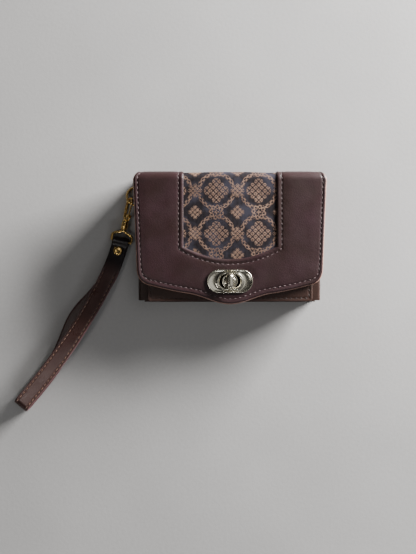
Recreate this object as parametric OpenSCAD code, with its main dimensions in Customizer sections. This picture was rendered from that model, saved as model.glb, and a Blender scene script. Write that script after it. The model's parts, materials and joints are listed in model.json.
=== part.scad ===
// Wristlet wallet: a leather wallet with an accordion inside, a cover that folds over the front
// and closes with a turn lock, and a wrist strap on a swivel snap hook.
// It lies on its back. +X is to the right, +Y towards the spine and +Z up, through the flap.

/* [Wallet body] */
// Width of the back panel, side to side
body_w = 126; // [124:1:128]
// Height from the bottom seam to the outside of the spine
body_h = 88.8; // [88:0.1:90]
// Thickness when closed, without the lock
body_t = 27; // [27:0.5:30]
// Thickness of the back and spine leather
leather_t = 1.5; // [1.3:0.1:1.6]
// Thickness of the front panel with its stiffener
front_t = 1.8; // [1.6:0.1:1.8]
// Thickness of a lining
lining_t = 0.6; // [0.4:0.1:0.6]
// Thickness of one card pocket layer
pocket_t = 0.7; // [0.5:0.1:0.7]
// Width of the front panel between its side seams
front_w = 112.6; // [110:0.2:114]

/* [Coin pouch] */
// Thickness of the coin pouch over its two walls
pouch_t = 7.8; // [7.6:0.1:8]
// Thickness of one pouch wall
wall_t = 0.8; // [0.7:0.1:0.9]
// Position of the pouch mouth along Y
mouth_y = 24; // [22:0.5:24]
// Distance between zip teeth of one row
tooth_pitch = 2; // [1.8:0.1:2.2]
// Number of zip teeth in one row
tooth_count = 39; // [35:2:39]

/* [Flap] */
// Width of the flap at the top fold
flap_w_top = 131; // [130:0.5:132]
// Width of the flap above its rounded corners
flap_w_low = 126; // [125:0.5:127]
// Thickness of the flap over all its layers
flap_t = 2.7; // [2.6:0.1:2.8]
// Outside radius of the top fold
fold_r = 6; // [5:0.5:7]
// Width of the fabric window
window_w = 63; // [58:1:66]
// Lowest point of the fabric window along Y
window_low = -14.4; // [-16:0.2:-12]

/* [Turn lock] */
// Position of the lock along Y
lock_y = -29.1; // [-30:0.1:-28]
// Width of the lock plate
plate_w = 31; // [30:0.5:32]
// Height of the lock plate
plate_h = 15.8; // [15:0.1:16.2]
// Width of the slot in the lock plate
slot_w = 14; // [13.5:0.1:14.5]
// Height of the slot in the lock plate
slot_h = 9; // [8.8:0.1:9.4]
// Length of the knob
knob_l = 10.8; // [10:0.1:12]

/* [Wrist strap and hardware] */
// Width of the strap
strap_w = 11.6; // [10:0.1:11.6]
// Thickness of the strap
strap_t = 1.8; // [1.4:0.1:1.8]
// Height of the hardware's middle plane above the table
ring_z = 4.6; // [4.6:0.1:5]
// Centreline radius of the ring
ring_r = 6.2; // [6:0.1:6.4]
// Radius of the ring wire
ring_wire_r = 0.85; // [0.7:0.05:0.85]
// Tilt of the snap hook about its own length
hook_tilt = 57; // [50:1:60]
// Diameter of the rivet cap
rivet_d = 6.4; // [6:0.1:7]

/* [Hidden] */

$fn = 48;
eps = 0.01;

leather_colour = [0.25, 0.17, 0.19];
lining_colour = [0.17, 0.12, 0.12];
fabric_colour = [0.42, 0.38, 0.38];
gold_colour = [0.83, 0.66, 0.35];
nickel_colour = [0.78, 0.77, 0.73];

// Heights of the layers, from the table up
lining_z = leather_t;
pocket_z = lining_z + lining_t;
pocket_top = pocket_z + 3 * pocket_t;
front_top = body_t - flap_t - 0.3;
front_z = front_top - front_t;
front_lining_z = front_z - lining_t;
gap = (front_lining_z - pocket_top - pouch_t) / 2;
pouch_z = pocket_top + gap;
pouch_top = pouch_z + pouch_t;
zip_z = pouch_z + pouch_t / 2;

// Edges along Y
spine_y = 45.5;
bottom_y = spine_y - body_h;
inner_y = bottom_y + 1.1;
front_end_y = 34;
gusset_end_y = 36;

// Folds of the cover. Each bends round its own centre line, and the hinge that opens it lies
// where the bend keeps its length as it straightens.
back_fold_r = 1.5 * leather_t;
back_fold_y = spine_y - back_fold_r;
top_fold_y = spine_y - fold_r;
top_fold_z = body_t - fold_r;

// Flap layers
flap_z = body_t - flap_t;
board_z = flap_z + lining_t;
flap_leather_z = body_t - 1.1;
flap_fabric_t = 0.4;

// Gusset
gusset_t = 0.8;
gusset_x = body_w / 2 - 0.5;
gusset_in = gusset_x - 7.4;

// Side tab and ring
tab_w = 4.8;
tab_y = 30.6;
ring_x = -65.8;
tab_bore_r = ring_wire_r + 0.05;
hook_angle_on_ring = 225;

// Point of the ring wire that the hook hangs on, the bar of the eye, and the line between them
hook_at = [ring_x + ring_r * cos(hook_angle_on_ring), tab_y + ring_r * sin(hook_angle_on_ring), ring_z];
eye_at = [-76.2, -0.8, ring_z];
hook_dir = eye_at - hook_at;
eye_d = norm(hook_dir);
hook_angle = atan2(hook_dir[1], hook_dir[0]);

// Snap hook, measured from the ring wire towards the swivel
hook_arm = 1.5;
hook_thick = 1.4;
hook_play = 1.65;
hook_mid_r = 3.4;
crown_x = hook_mid_r - hook_arm / 2 - ring_wire_r - hook_play;
hook_end = 19.4;
gate_x = 9.8;
gate_len = gate_x - crown_x - 0.95;
pin_r = 0.5;
stem_r = 1;
eye_wire_r = 0.95;
eye_half = strap_w / 2 + 0.3 + eye_wire_r;

// Knob and base of the lock
base_d = 15.2;
boss_r = 3.8;
knob_stem_r = 2;
knob_z = body_t + 1.2;

function bezier2(a, b, c, t) = (1 - t) * (1 - t) * a + 2 * t * (1 - t) * b + t * t * c;

function bezier3(a, b, c, d, t) =
    pow(1 - t, 3) * a + 3 * t * pow(1 - t, 2) * b + 3 * t * t * (1 - t) * c + pow(t, 3) * d;

function smooth(a, b, t) = let (k = min(1, max(0, (t - a) / (b - a)))) k * k * (3 - 2 * k);

// Cylinder from point a to point b
module rod(a, b, r) {
    v = b - a;
    translate(a)
        rotate([0, acos(v[2] / norm(v)), atan2(v[1], v[0])])
            cylinder(h = norm(v), r = r);
}

module stadium(w, h) {
    square([w - h, h], center = true);
    for (s = [-1, 1])
        translate([s * (w - h) / 2, 0]) circle(d = h);
}

// Flat piece from y0 to y1 whose two lower corners have radius r
module panel(w, y0, y1, z, t, r) {
    translate([0, 0, z])
        linear_extrude(t) {
            translate([-w / 2, y0 + r]) square([w, y1 - y0 - r]);
            translate([-w / 2 + r, y0]) square([w - 2 * r, r + eps]);
            for (s = [-1, 1])
                translate([s * (w / 2 - r), y0 + r]) circle(r = r);
        }
}

// Quarter of a tube along X, from straight down at the back to straight up at the spine side
module quarter_fold(w, y, z, r_out, t, turn) {
    translate([0, y, z])
        rotate([0, 90, 0])
            linear_extrude(w, center = true)
                rotate(turn)
                    intersection() {
                        difference() {
                            circle(r = r_out);
                            circle(r = r_out - t);
                        }
                        square(r_out + 1);
                    }
}

module back_panel() {
    color(leather_colour)
        panel(body_w, bottom_y, back_fold_y, 0, leather_t, 5);
}

module back_fold() {
    color(leather_colour)
        quarter_fold(body_w, back_fold_y, back_fold_r, back_fold_r, leather_t, 0);
}

module back_lining() {
    color(lining_colour)
        panel(body_w - 3, inner_y, back_fold_y - 0.5, lining_z, lining_t, 4);
}

// One stepped card pocket with a thumb notch in its mouth; step 0 is the rearmost
module card_pocket(step) {
    pocket_w = 100;
    mouth = 24 - 11 * step;
    color(leather_colour)
        translate([0, 0, pocket_z + step * pocket_t])
            linear_extrude(pocket_t)
                difference() {
                    translate([-pocket_w / 2, inner_y + 0.4]) square([pocket_w, mouth - inner_y - 0.4]);
                    translate([0, mouth + 12]) circle(r = 15);
                }
}

module card_pocket_1() card_pocket(0);
module card_pocket_2() card_pocket(1);
module card_pocket_3() card_pocket(2);

// Corners of the folded side, seen along Y, from the back panel to the front panel
function gusset_path() = [
    [gusset_x - 5, pocket_z + gusset_t / 2],
    [gusset_x, pocket_z + gusset_t / 2],
    [gusset_in, (pocket_z + pouch_z) / 2 - 0.1],
    [gusset_x, pouch_z - gusset_t / 2],
    [gusset_x, pouch_top + gusset_t / 2],
    [gusset_in, (pouch_top + front_z) / 2 + 0.1],
    [gusset_x, front_z - gusset_t / 2],
    [gusset_in + 0.2, front_z - gusset_t / 2]
];

module strip(path, t) {
    for (i = [0 : len(path) - 2]) {
        v = path[i + 1] - path[i];
        translate(path[i]) {
            rotate(atan2(v[1], v[0]))
                translate([0, -t / 2]) square([norm(v), t]);
            circle(d = t, $fn = 24);
        }
    }
    translate(path[len(path) - 1]) circle(d = t, $fn = 24);
}

module gusset() {
    translate([0, gusset_end_y, 0])
        rotate([90, 0, 0])
            linear_extrude(gusset_end_y - inner_y)
                strip(gusset_path(), gusset_t);
}

module right_gusset() {
    color(leather_colour) gusset();
}

module left_gusset() {
    color(leather_colour)
        difference() {
            mirror([1, 0, 0]) gusset();
            translate([-gusset_x - 2, tab_y - tab_w / 2 - 0.2, ring_z - 1.2])
                cube([10.4, tab_w + 0.4, 2.4]);
        }
}

module bottom_panel() {
    color(leather_colour)
        translate([-body_w / 2 + 5, bottom_y, leather_t])
            cube([body_w - 10, 1, front_z - leather_t]);
}

module pouch_wall(z) {
    w = 2 * gusset_x - gusset_t - 0.2;
    color(lining_colour)
        translate([-w / 2, inner_y + 0.2, z])
            cube([w, mouth_y - inner_y - 0.2, wall_t]);
}

module coin_pouch_rear() pouch_wall(pouch_z);
module coin_pouch_front() pouch_wall(pouch_top - wall_t);

module coin_pouch_base() {
    w = 2 * gusset_x - gusset_t - 0.2;
    color(lining_colour)
        translate([-w / 2, inner_y + 0.2, pouch_z + wall_t])
            cube([w, wall_t, pouch_t - 2 * wall_t]);
}

// Zip across the mouth of the coin pouch
tape_t = 0.5;
tape_half = 44;
tooth_in = 0.35;
tooth_out = 2;
tooth_h = 2.4;
chain_y = mouth_y + tape_t / 2;
chain_half = tooth_pitch * (tooth_count - 1) / 2;
slider_l = 8;
slider_x = chain_half - slider_l / 2;

module zip_tapes() {
    tape_w = pouch_t / 2 - tooth_out;
    color(lining_colour)
        for (z = [pouch_z, pouch_top - tape_w])
            translate([-tape_half, mouth_y, z]) cube([2 * tape_half, tape_t, tape_w]);
}

module zip_teeth() {
    tooth_l = 1.1;
    color(gold_colour)
        for (i = [0 : tooth_count - 1], s = [0, 1])
            translate([
                -chain_half + (i + s * 0.5 - 0.25) * tooth_pitch - tooth_l / 2,
                chain_y - tooth_h / 2,
                zip_z - tooth_out + s * (tooth_in + tooth_out)
            ])
                cube([tooth_l, tooth_h, tooth_out - tooth_in]);
}

module zip_stops() {
    stop_l = 1.6;
    color(gold_colour)
        for (s = [-1, 1])
            translate([s * (chain_half + 2.4) - stop_l / 2, chain_y - tooth_h / 2, zip_z - tooth_out])
                cube([stop_l, tooth_h, 2 * tooth_out]);
}

module zip_end_tabs() {
    tab_end = gusset_x - gusset_t;
    color(leather_colour)
        for (s = [0, 1])
            mirror([s, 0, 0])
                translate([tape_half + 0.1, mouth_y, pouch_z])
                    cube([tab_end - tape_half - 0.1, wall_t, pouch_t]);
}

// Pull bar of the slider, which the pull swings on
pull_pin_r = 0.5;
pull_y = chain_y + 2.95;
pull_half_t = 0.5;

module zip_slider() {
    half_w = 2.8;
    plate_t = 0.8;
    plate_gap = tooth_h / 2 + 0.2;
    flange_w = 0.5;
    flange_h = 0.7;
    color(gold_colour)
        translate([slider_x, chain_y, zip_z]) {
            for (s = [-1, 1]) {
                translate([-slider_l / 2, s * (plate_gap + plate_t / 2) - plate_t / 2, -half_w])
                    cube([slider_l, plate_t, 2 * half_w]);
                for (k = [-1, 1])
                    translate([
                        -slider_l / 2,
                        s * (plate_gap - flange_h / 2 + eps) - flange_h / 2,
                        k * (half_w - flange_w / 2) - flange_w / 2
                    ])
                        cube([slider_l, flange_h, flange_w]);
            }
            translate([1.4, -plate_gap - eps, -0.2]) cube([2.2, 2 * plate_gap + 2 * eps, 0.4]);
            for (s = [-1, 1])
                translate([s * 2.25 - 0.35, plate_gap + plate_t - eps, -0.65]) cube([0.7, 2.15, 1.3]);
            translate([-2.6, 3.85, -0.65]) cube([5.2, 0.7, 1.3]);
        }
}

module zip_pull() {
    hole_end = 3.4;
    pull_l = 13;
    pull_w = 4.4;
    cheek_in = 0.95;
    cheek_w = 0.7;
    color(gold_colour)
        translate([slider_x, pull_y, zip_z]) {
            translate([0, 0, -cheek_in - cheek_w])
                cylinder(h = 2 * (cheek_in + cheek_w), r = pull_pin_r);
            for (s = [0, 1])
                mirror([0, 0, s])
                    translate([-hole_end - eps, -pull_half_t, cheek_in])
                        cube([hole_end + eps, 2 * pull_half_t, cheek_w]);
            rotate([90, 0, 0])
                linear_extrude(2 * pull_half_t, center = true)
                    difference() {
                        union() {
                            translate([-(hole_end + pull_l) / 2, 0]) stadium(pull_l - hole_end, pull_w);
                            translate([-hole_end - pull_w / 2, -cheek_in - cheek_w])
                                square([pull_w / 2, 2 * (cheek_in + cheek_w)]);
                        }
                        translate([-pull_l + 2.4, 0]) circle(d = 1.8);
                    }
        }
}

// Openings for the lock base and its prongs
prong_t = 0.5;
prong_w = 4;
base_prong_x = 6.2;
plate_prong_x = 11;

module prong_slots(x, extra) {
    for (s = [-1, 1])
        translate([s * x, 0]) square([prong_t + extra, prong_w + extra], center = true);
}

module front_lining() {
    color(lining_colour)
        difference() {
            panel(2 * gusset_in - 0.6, inner_y, front_end_y - 1, front_lining_z, lining_t, 1);
            translate([0, lock_y, front_lining_z - 1])
                linear_extrude(lining_t + 2) prong_slots(base_prong_x, 0.1);
        }
}

module front_panel() {
    color(leather_colour)
        difference() {
            panel(front_w, bottom_y, front_end_y, front_z, front_t, 3);
            translate([0, lock_y, front_z - 1]) {
                cylinder(h = front_t + 2, d = 9);
                linear_extrude(front_t + 2) prong_slots(base_prong_x, 0.1);
            }
            translate([0, lock_y, front_top - 0.8]) cylinder(h = 1, d = base_d + 0.1);
        }
}

module lock_base() {
    color(nickel_colour)
        difference() {
            translate([0, lock_y, 0]) {
                translate([0, 0, front_top - 0.8]) cylinder(h = 0.8, d = base_d);
                translate([0, 0, front_top - eps]) cylinder(h = 2, d1 = 11, d2 = 10.4);
                translate([0, 0, front_top]) cylinder(h = knob_z - 0.2 - front_top, r = boss_r);
                for (s = [0, 1])
                    mirror([s, 0, 0]) {
                        translate([base_prong_x - prong_t / 2, -prong_w / 2, front_lining_z - 1])
                            cube([prong_t, prong_w, front_top - 0.7 - front_lining_z + 1]);
                        translate([base_prong_x - 3, -prong_w / 2, front_lining_z - 1])
                            cube([3, prong_w, 0.4]);
                    }
            }
            translate([0, lock_y, front_z]) cylinder(h = 10, r = knob_stem_r + 0.05);
        }
}

module lock_base_washer() {
    color(nickel_colour)
        translate([0, lock_y, front_lining_z - 0.6])
            linear_extrude(0.6)
                difference() {
                    stadium(18, 10);
                    circle(d = 5);
                    prong_slots(base_prong_x, 0.1);
                }
}

module side_tab() {
    loop_r = tab_bore_r + 0.8;
    color(leather_colour)
        difference() {
            translate([0, tab_y, ring_z])
                rotate([90, 0, 0])
                    linear_extrude(tab_w, center = true) {
                        translate([ring_x, 0]) circle(r = loop_r);
                        translate([ring_x + 1, -1]) square([10, 2]);
                    }
            rod([ring_x, tab_y - tab_w, ring_z], [ring_x, tab_y + tab_w, ring_z], tab_bore_r);
        }
}

// Spine of the cover, with the strip of fabric that comes down from the flap
spine_fabric_w = window_w;
spine_fabric_t = 0.6;

module spine_panel() {
    color(leather_colour)
        difference() {
            translate([-body_w / 2, spine_y - leather_t, back_fold_r])
                cube([body_w, leather_t, top_fold_z - back_fold_r]);
            translate([-spine_fabric_w / 2, spine_y - spine_fabric_t, back_fold_r + 2])
                cube([spine_fabric_w, spine_fabric_t + 1, top_fold_z]);
        }
}

module spine_fabric() {
    color(fabric_colour)
        translate([-spine_fabric_w / 2 + 0.1, spine_y - spine_fabric_t, back_fold_r + 2.1])
            cube([spine_fabric_w - 0.2, spine_fabric_t - 0.1, top_fold_z - back_fold_r - 2.1]);
}

module spine_lining() {
    color(lining_colour)
        translate([-body_w / 2 + 1.5, spine_y - leather_t - lining_t, back_fold_r + 0.3])
            cube([body_w - 3, lining_t, top_fold_z - back_fold_r - 0.3]);
}

module top_fold() {
    color(leather_colour)
        quarter_fold(flap_w_top - 1, top_fold_y, top_fold_z, fold_r, leather_t + lining_t, 90);
}

// Lower edge of the flap: a wide shallow curve with a gentle tongue under the lock
tongue_half = 28;
flap_corner_x = 53;

function flap_low(x) =
    -(39.6 - 0.00265 * x * x)
    - (abs(x) < tongue_half ? 5.2 * pow(cos(90 * x / tongue_half), 2) : 0);

function flap_corner() = [
    for (k = [0 : 8])
        bezier2(
            [flap_w_low / 2, -21],
            [flap_w_low / 2 - 0.4, -30.6],
            [flap_corner_x, flap_low(flap_corner_x)],
            k / 8
        )
];

function mirrored(points) = [for (k = [len(points) - 1 : -1 : 0]) [-points[k][0], points[k][1]]];

function flap_half_outline() = concat(
    [[flap_w_top / 2, top_fold_y]],
    flap_corner(),
    [for (x = [flap_corner_x - 2 : -2 : 1]) [x, flap_low(x)]]
);

module flap_outline(inset = 0) {
    k = 1 - inset / (flap_w_low / 2);
    scale([k, k])
        polygon(concat(
            [[flap_w_top / 2, top_fold_y / k]],
            [for (i = [1 : len(flap_half_outline()) - 1]) flap_half_outline()[i]],
            mirrored([for (i = [1 : len(flap_half_outline()) - 1]) flap_half_outline()[i]]),
            [[-flap_w_top / 2, top_fold_y / k]]
        ));
}

// Fabric window: straight sides that run up over the fold, and a curved lower edge
module window_outline(inset = 0) {
    half = window_w / 2 - inset;
    depth = 8.6;
    polygon(concat(
        [[half, top_fold_y + (inset > 0 ? 0 : 1)]],
        [for (x = [half : -half / 12 : -half - eps])
            [x, window_low + inset + depth * pow(x / half, 2)]],
        [[-half, top_fold_y + (inset > 0 ? 0 : 1)]]
    ));
}

module lock_cut(w, h) {
    translate([0, lock_y]) stadium(w, h);
}

module flap_leather() {
    color(leather_colour)
        translate([0, 0, flap_leather_z])
            linear_extrude(body_t - flap_leather_z)
                difference() {
                    flap_outline();
                    window_outline();
                    lock_cut(17, 12);
                    translate([0, lock_y]) prong_slots(plate_prong_x, 0.2);
                }
}

module flap_fabric() {
    color(fabric_colour)
        translate([0, 0, flap_leather_z])
            linear_extrude(flap_fabric_t) window_outline(0.2);
}

module flap_board() {
    color(lining_colour)
        translate([0, 0, board_z])
            linear_extrude(flap_leather_z - board_z)
                difference() {
                    flap_outline(1.5);
                    lock_cut(27, 13);
                }
}

module flap_lining() {
    color(lining_colour)
        translate([0, 0, flap_z])
            linear_extrude(lining_t)
                difference() {
                    flap_outline(0.6);
                    lock_cut(17, 12);
                }
}

module lock_plate() {
    floor_t = 0.4;
    rim_t = 1;
    rim_w = 1.5;
    color(nickel_colour)
        translate([0, lock_y, body_t]) {
            linear_extrude(floor_t)
                difference() {
                    stadium(plate_w, plate_h);
                    stadium(slot_w, slot_h);
                }
            linear_extrude(rim_t)
                difference() {
                    stadium(plate_w, plate_h);
                    stadium(plate_w - 2 * rim_w, plate_h - 2 * rim_w);
                }
            linear_extrude(rim_t - 0.1)
                difference() {
                    stadium(slot_w + 3.4, slot_h + 3);
                    stadium(slot_w, slot_h);
                }
            for (s = [0, 1])
                mirror([s, 0, 0]) {
                    translate([plate_prong_x - prong_t / 2, -prong_w / 2, board_z + 0.1 - body_t])
                        cube([prong_t, prong_w, body_t - board_z - 0.1 + eps]);
                    translate([plate_prong_x - 1.6, -prong_w / 2, board_z + 0.1 - body_t])
                        cube([1.6, prong_w, 0.3]);
                }
        }
}

module lock_plate_washer() {
    color(nickel_colour)
        translate([0, lock_y, board_z + 0.45])
            linear_extrude(0.4)
                difference() {
                    stadium(25, 12.6);
                    stadium(17, 11.6);
                    prong_slots(plate_prong_x, 0.1);
                }
}

module lock_knob() {
    color(nickel_colour)
        translate([0, lock_y, 0]) {
            translate([0, 0, front_z + 0.2]) cylinder(h = knob_z - front_z, r = knob_stem_r);
            translate([0, 0, knob_z])
                hull()
                    for (s = [-1, 1]) {
                        translate([0, s * (knob_l / 2 - 2.8), 0]) cylinder(h = 1.6, r = 2.8, $fn = 32);
                        translate([0, s * (knob_l / 2 - 2.8), 2.2]) sphere(r = 1.9, $fn = 24);
                    }
        }
}

module lock_circlip() {
    color(nickel_colour)
        translate([0, lock_y, front_z + 0.35])
            difference() {
                cylinder(h = 0.35, r = 3.4);
                translate([0, 0, -1]) cylinder(h = 3, r = knob_stem_r + 0.02);
            }
}

module lock_spring() {
    color(nickel_colour)
        translate([0, lock_y, front_z + 0.75])
            difference() {
                cylinder(h = 0.15, r = 3.2);
                translate([0, 0, -1]) cylinder(h = 3, r = knob_stem_r + 0.1);
            }
}

module d_ring() {
    color(gold_colour)
        translate([ring_x, tab_y, ring_z]) {
            rotate(90)
                rotate_extrude(angle = 180)
                    translate([ring_r, 0]) circle(r = ring_wire_r, $fn = 32);
            rod([0, -ring_r, 0], [0, ring_r, 0], ring_wire_r);
            for (s = [-1, 1])
                translate([0, s * ring_r, 0]) sphere(r = ring_wire_r, $fn = 32);
        }
}

// Places its children in the hook's frame: +X runs from the ring to the strap
module at_hook(tilt = hook_tilt) {
    translate(hook_at)
        rotate([0, 0, hook_angle])
            rotate([tilt, 0, 0])
                children();
}

module snap_hook() {
    inner = 2 * hook_mid_r - hook_arm;
    outer = 2 * hook_mid_r + hook_arm;
    body_x = 10.5;
    color(gold_colour)
        at_hook()
            difference() {
                union() {
                    linear_extrude(hook_thick, center = true)
                        difference() {
                            translate([crown_x + body_x / 2 - 0.5, 0]) stadium(body_x + outer - 1, outer);
                            translate([crown_x + (gate_x - crown_x - 2) / 2, 0])
                                stadium(gate_x - crown_x - 2 + inner, inner);
                            translate([crown_x + 0.5, hook_mid_r - hook_arm / 2 - eps])
                                square([gate_x - crown_x + 0.9, outer]);
                        }
                    for (s = [-1, 1])
                        translate([gate_x, hook_mid_r, s * 1.25 - 0.35]) cylinder(h = 0.7, r = 1.3);
                    for (s = [-1, 1])
                        translate([gate_x, 0.4, s * 1.25 - 0.35]) cube([3, hook_mid_r + 0.4, 0.7]);
                    translate([10.6, -2.6, -1.6]) cube([3, 5.2, 3.2]);
                    rod([13, 0, 0], [hook_end, 0, 0], 2.2);
                }
                rod([14.4, 0, 0], [hook_end + 1, 0, 0], stem_r + 0.05);
                rod([15, 0, 0], [16.6, 0, 0], 1.6);
                translate([gate_x, hook_mid_r, -3]) cylinder(h = 6, r = pin_r + 0.001);
                translate([gate_x - 4, 0.8, -0.9]) cube([5.7, 8, 1.8]);
            }
}

module gate_pin() {
    color(gold_colour)
        at_hook()
            translate([gate_x, hook_mid_r, -1.75]) cylinder(h = 3.5, r = pin_r);
}

module gate_spring() {
    color(nickel_colour)
        at_hook()
            translate([gate_x + 1.35, hook_mid_r - 1.2, -0.5]) cube([0.25, 1.8, 1]);
}

module hook_gate() {
    half_w = 0.75;
    color(gold_colour)
        at_hook()
            difference() {
                linear_extrude(1.5, center = true) {
                    translate([gate_x - gate_len, hook_mid_r - half_w]) square([gate_len, 2 * half_w]);
                    translate([gate_x, hook_mid_r]) circle(r = 1.1);
                }
                translate([gate_x, hook_mid_r, -3]) cylinder(h = 6, r = pin_r + 0.05);
            }
}

module swivel_eye() {
    neck = hook_end + 0.2;
    color(gold_colour)
        at_hook(0) {
            rod([15.2, 0, 0], [16.4, 0, 0], 1.5);
            rod([15.2, 0, 0], [neck + 0.5, 0, 0], stem_r);
            rod([neck, 0, 0], [neck + 1.6, 0, 0], 2);
            for (s = [-1, 1]) {
                rod([neck + 1.2, s * 0.8, 0], [eye_d - 3.8, s * eye_half, 0], eye_wire_r);
                rod([eye_d - 3.8, s * eye_half, 0], [eye_d, s * eye_half, 0], eye_wire_r);
                translate([eye_d - 3.8, s * eye_half, 0]) sphere(r = eye_wire_r, $fn = 32);
                translate([eye_d, s * eye_half, 0]) sphere(r = eye_wire_r, $fn = 32);
            }
            rod([eye_d, -eye_half, 0], [eye_d, eye_half, 0], eye_wire_r);
        }
}

// The strap is one closed band. It wraps the bar of the eye, runs out as a lower leaf that lies on
// the table, turns back in a round bend and returns as an arched upper leaf.
strap_ctrl = [[eye_at[0], eye_at[1]], [-85.7, -36], [-110, -74], [-144, -114]];
strap_low_z = strap_t / 2 + 0.1;
strap_high_z = 10.4;
strap_bend_z = 9.2;
wrap_r = eye_wire_r + 0.3 + strap_t / 2;
leaf_steps = 16;
bend_steps = 6;
strap_spread = 6.5;
strap_tilt = 16;
rivet_t = 0.066;

function plan(t) = bezier3(strap_ctrl[0], strap_ctrl[1], strap_ctrl[2], strap_ctrl[3], t);
function plan_dir(t) = let (v = plan(t + 0.01) - plan(t - 0.01)) v / norm(v);

// Heights of the two leaves at fraction t of the strap
function low_z(t) =
    (ring_z - wrap_r) * (1 - smooth(0, 0.038, t))
    + (ring_z - strap_t / 2 - 0.05) * (smooth(0, 0.038, t) - smooth(0.1, 0.3, t))
    + strap_low_z * smooth(0.1, 0.3, t);
function high_z(t) =
    (ring_z + wrap_r) * (1 - smooth(0, 0.038, t))
    + (ring_z + strap_t / 2 + 0.05) * (smooth(0, 0.038, t) - smooth(0.1, 0.4, t))
    + strap_high_z * (smooth(0.1, 0.4, t) - smooth(0.6, 1, t))
    + strap_bend_z * smooth(0.6, 1, t);

// One station of the band: centre, direction across, direction outwards
function station(t, z, out, tilt, side) =
    let (
        d = plan_dir(t),
        c = plan(t),
        across = [-d[1] * cos(tilt), d[0] * cos(tilt), sin(tilt)],
        outward = [d[1] * sin(tilt), -d[0] * sin(tilt), cos(tilt)]
    )
    [[c[0] - d[1] * side, c[1] + d[0] * side, z], across, out * outward];

function bend_station(t, z, r, turn, ahead) =
    let (d = plan_dir(t), c = plan(t))
    [
        [c[0] + d[0] * r * cos(turn) * ahead, c[1] + d[1] * r * cos(turn) * ahead, z + r * sin(turn)],
        [-d[1], d[0], 0],
        [d[0] * cos(turn) * ahead, d[1] * cos(turn) * ahead, sin(turn)]
    ];

// Fractions of the strap at which its leaves are set out, closer by the rivet
function leaf_t(k) = k < 3 ? [0, 0.02, 0.038][k] : 0.095 + 0.905 * (k - 3) / (leaf_steps - 3);

strap_stations = concat(
    [for (k = [0 : leaf_steps - 1]) let (t = leaf_t(k))
        station(t, low_z(t), -1, 0, -strap_spread * pow(sin(180 * smooth(0.1, 0.95, t)), 2))],
    [for (k = [0 : bend_steps])
        bend_station(1, (strap_low_z + strap_bend_z) / 2, (strap_bend_z - strap_low_z) / 2,
            -90 + 180 * k / bend_steps, 1)],
    [for (k = [leaf_steps - 1 : -1 : 0]) let (t = leaf_t(k))
        station(t, high_z(t), 1, strap_tilt * pow(sin(180 * smooth(0.1, 0.95, t)), 2), 0)],
    [for (k = [1 : bend_steps - 1])
        bend_station(0, ring_z, wrap_r, 90 - 180 * k / bend_steps, -1)]
);

function ring_points(s) =
    let (w = s[1] * strap_w / 2, n = s[2] * strap_t / 2)
    [s[0] + w + n, s[0] - w + n, s[0] - w - n, s[0] + w - n];

module strap_band() {
    count = len(strap_stations);
    points = [for (s = strap_stations) each ring_points(s)];
    faces = [
        for (i = [0 : count - 1], k = [0 : 3])
            let (
                a = 4 * i + k,
                b = 4 * i + (k + 1) % 4,
                c = 4 * ((i + 1) % count) + (k + 1) % 4,
                d = 4 * ((i + 1) % count) + k
            )
            each [[a, b, c], [a, c, d]]
    ];
    polyhedron(points, faces);
}

rivet_at = plan(rivet_t);
rivet_hole_r = 1.3;

module strap_loop() {
    color(leather_colour)
        difference() {
            strap_band();
            translate([rivet_at[0], rivet_at[1], 0]) cylinder(h = 10, r = rivet_hole_r);
        }
}

module rivet_cap() {
    top = ring_z + strap_t + 0.1;
    color(gold_colour)
        translate([rivet_at[0], rivet_at[1], 0]) {
            translate([0, 0, ring_z - strap_t + 0.1]) cylinder(h = 2 * strap_t, r = rivet_hole_r - 0.05);
            translate([0, 0, top])
                rotate_extrude()
                    intersection() {
                        translate([0, -4.6]) circle(r = 5.6, $fn = 64);
                        square([rivet_d / 2, 3]);
                    }
        }
}

module rivet_back() {
    low = ring_z - strap_t - 0.1;
    color(gold_colour)
        translate([rivet_at[0], rivet_at[1], low - 0.7]) cylinder(h = 0.7, d = rivet_d - 0.8);
}

back_panel();
back_fold();
back_lining();
card_pocket_1();
card_pocket_2();
card_pocket_3();
left_gusset();
right_gusset();
bottom_panel();
coin_pouch_rear();
coin_pouch_front();
coin_pouch_base();
zip_tapes();
zip_teeth();
zip_stops();
zip_end_tabs();
front_lining();
front_panel();
lock_base();
lock_base_washer();
side_tab();
spine_panel();
spine_fabric();
spine_lining();
top_fold();
flap_leather();
flap_fabric();
flap_board();
flap_lining();
lock_plate();
lock_plate_washer();
lock_knob();
lock_circlip();
lock_spring();
zip_slider();
zip_pull();
d_ring();
snap_hook();
gate_pin();
gate_spring();
hook_gate();
swivel_eye();
strap_loop();
rivet_cap();
rivet_back();
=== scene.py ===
"""Wristlet wallet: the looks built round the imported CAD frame.

Shapes are worked out in millimetres in the CAD's frame and scaled once, when a mesh is made.
Order: camera, helpers, materials, cover, studio, body, inside, zip, lock, hardware, strap.
"""
import json
import math

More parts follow.
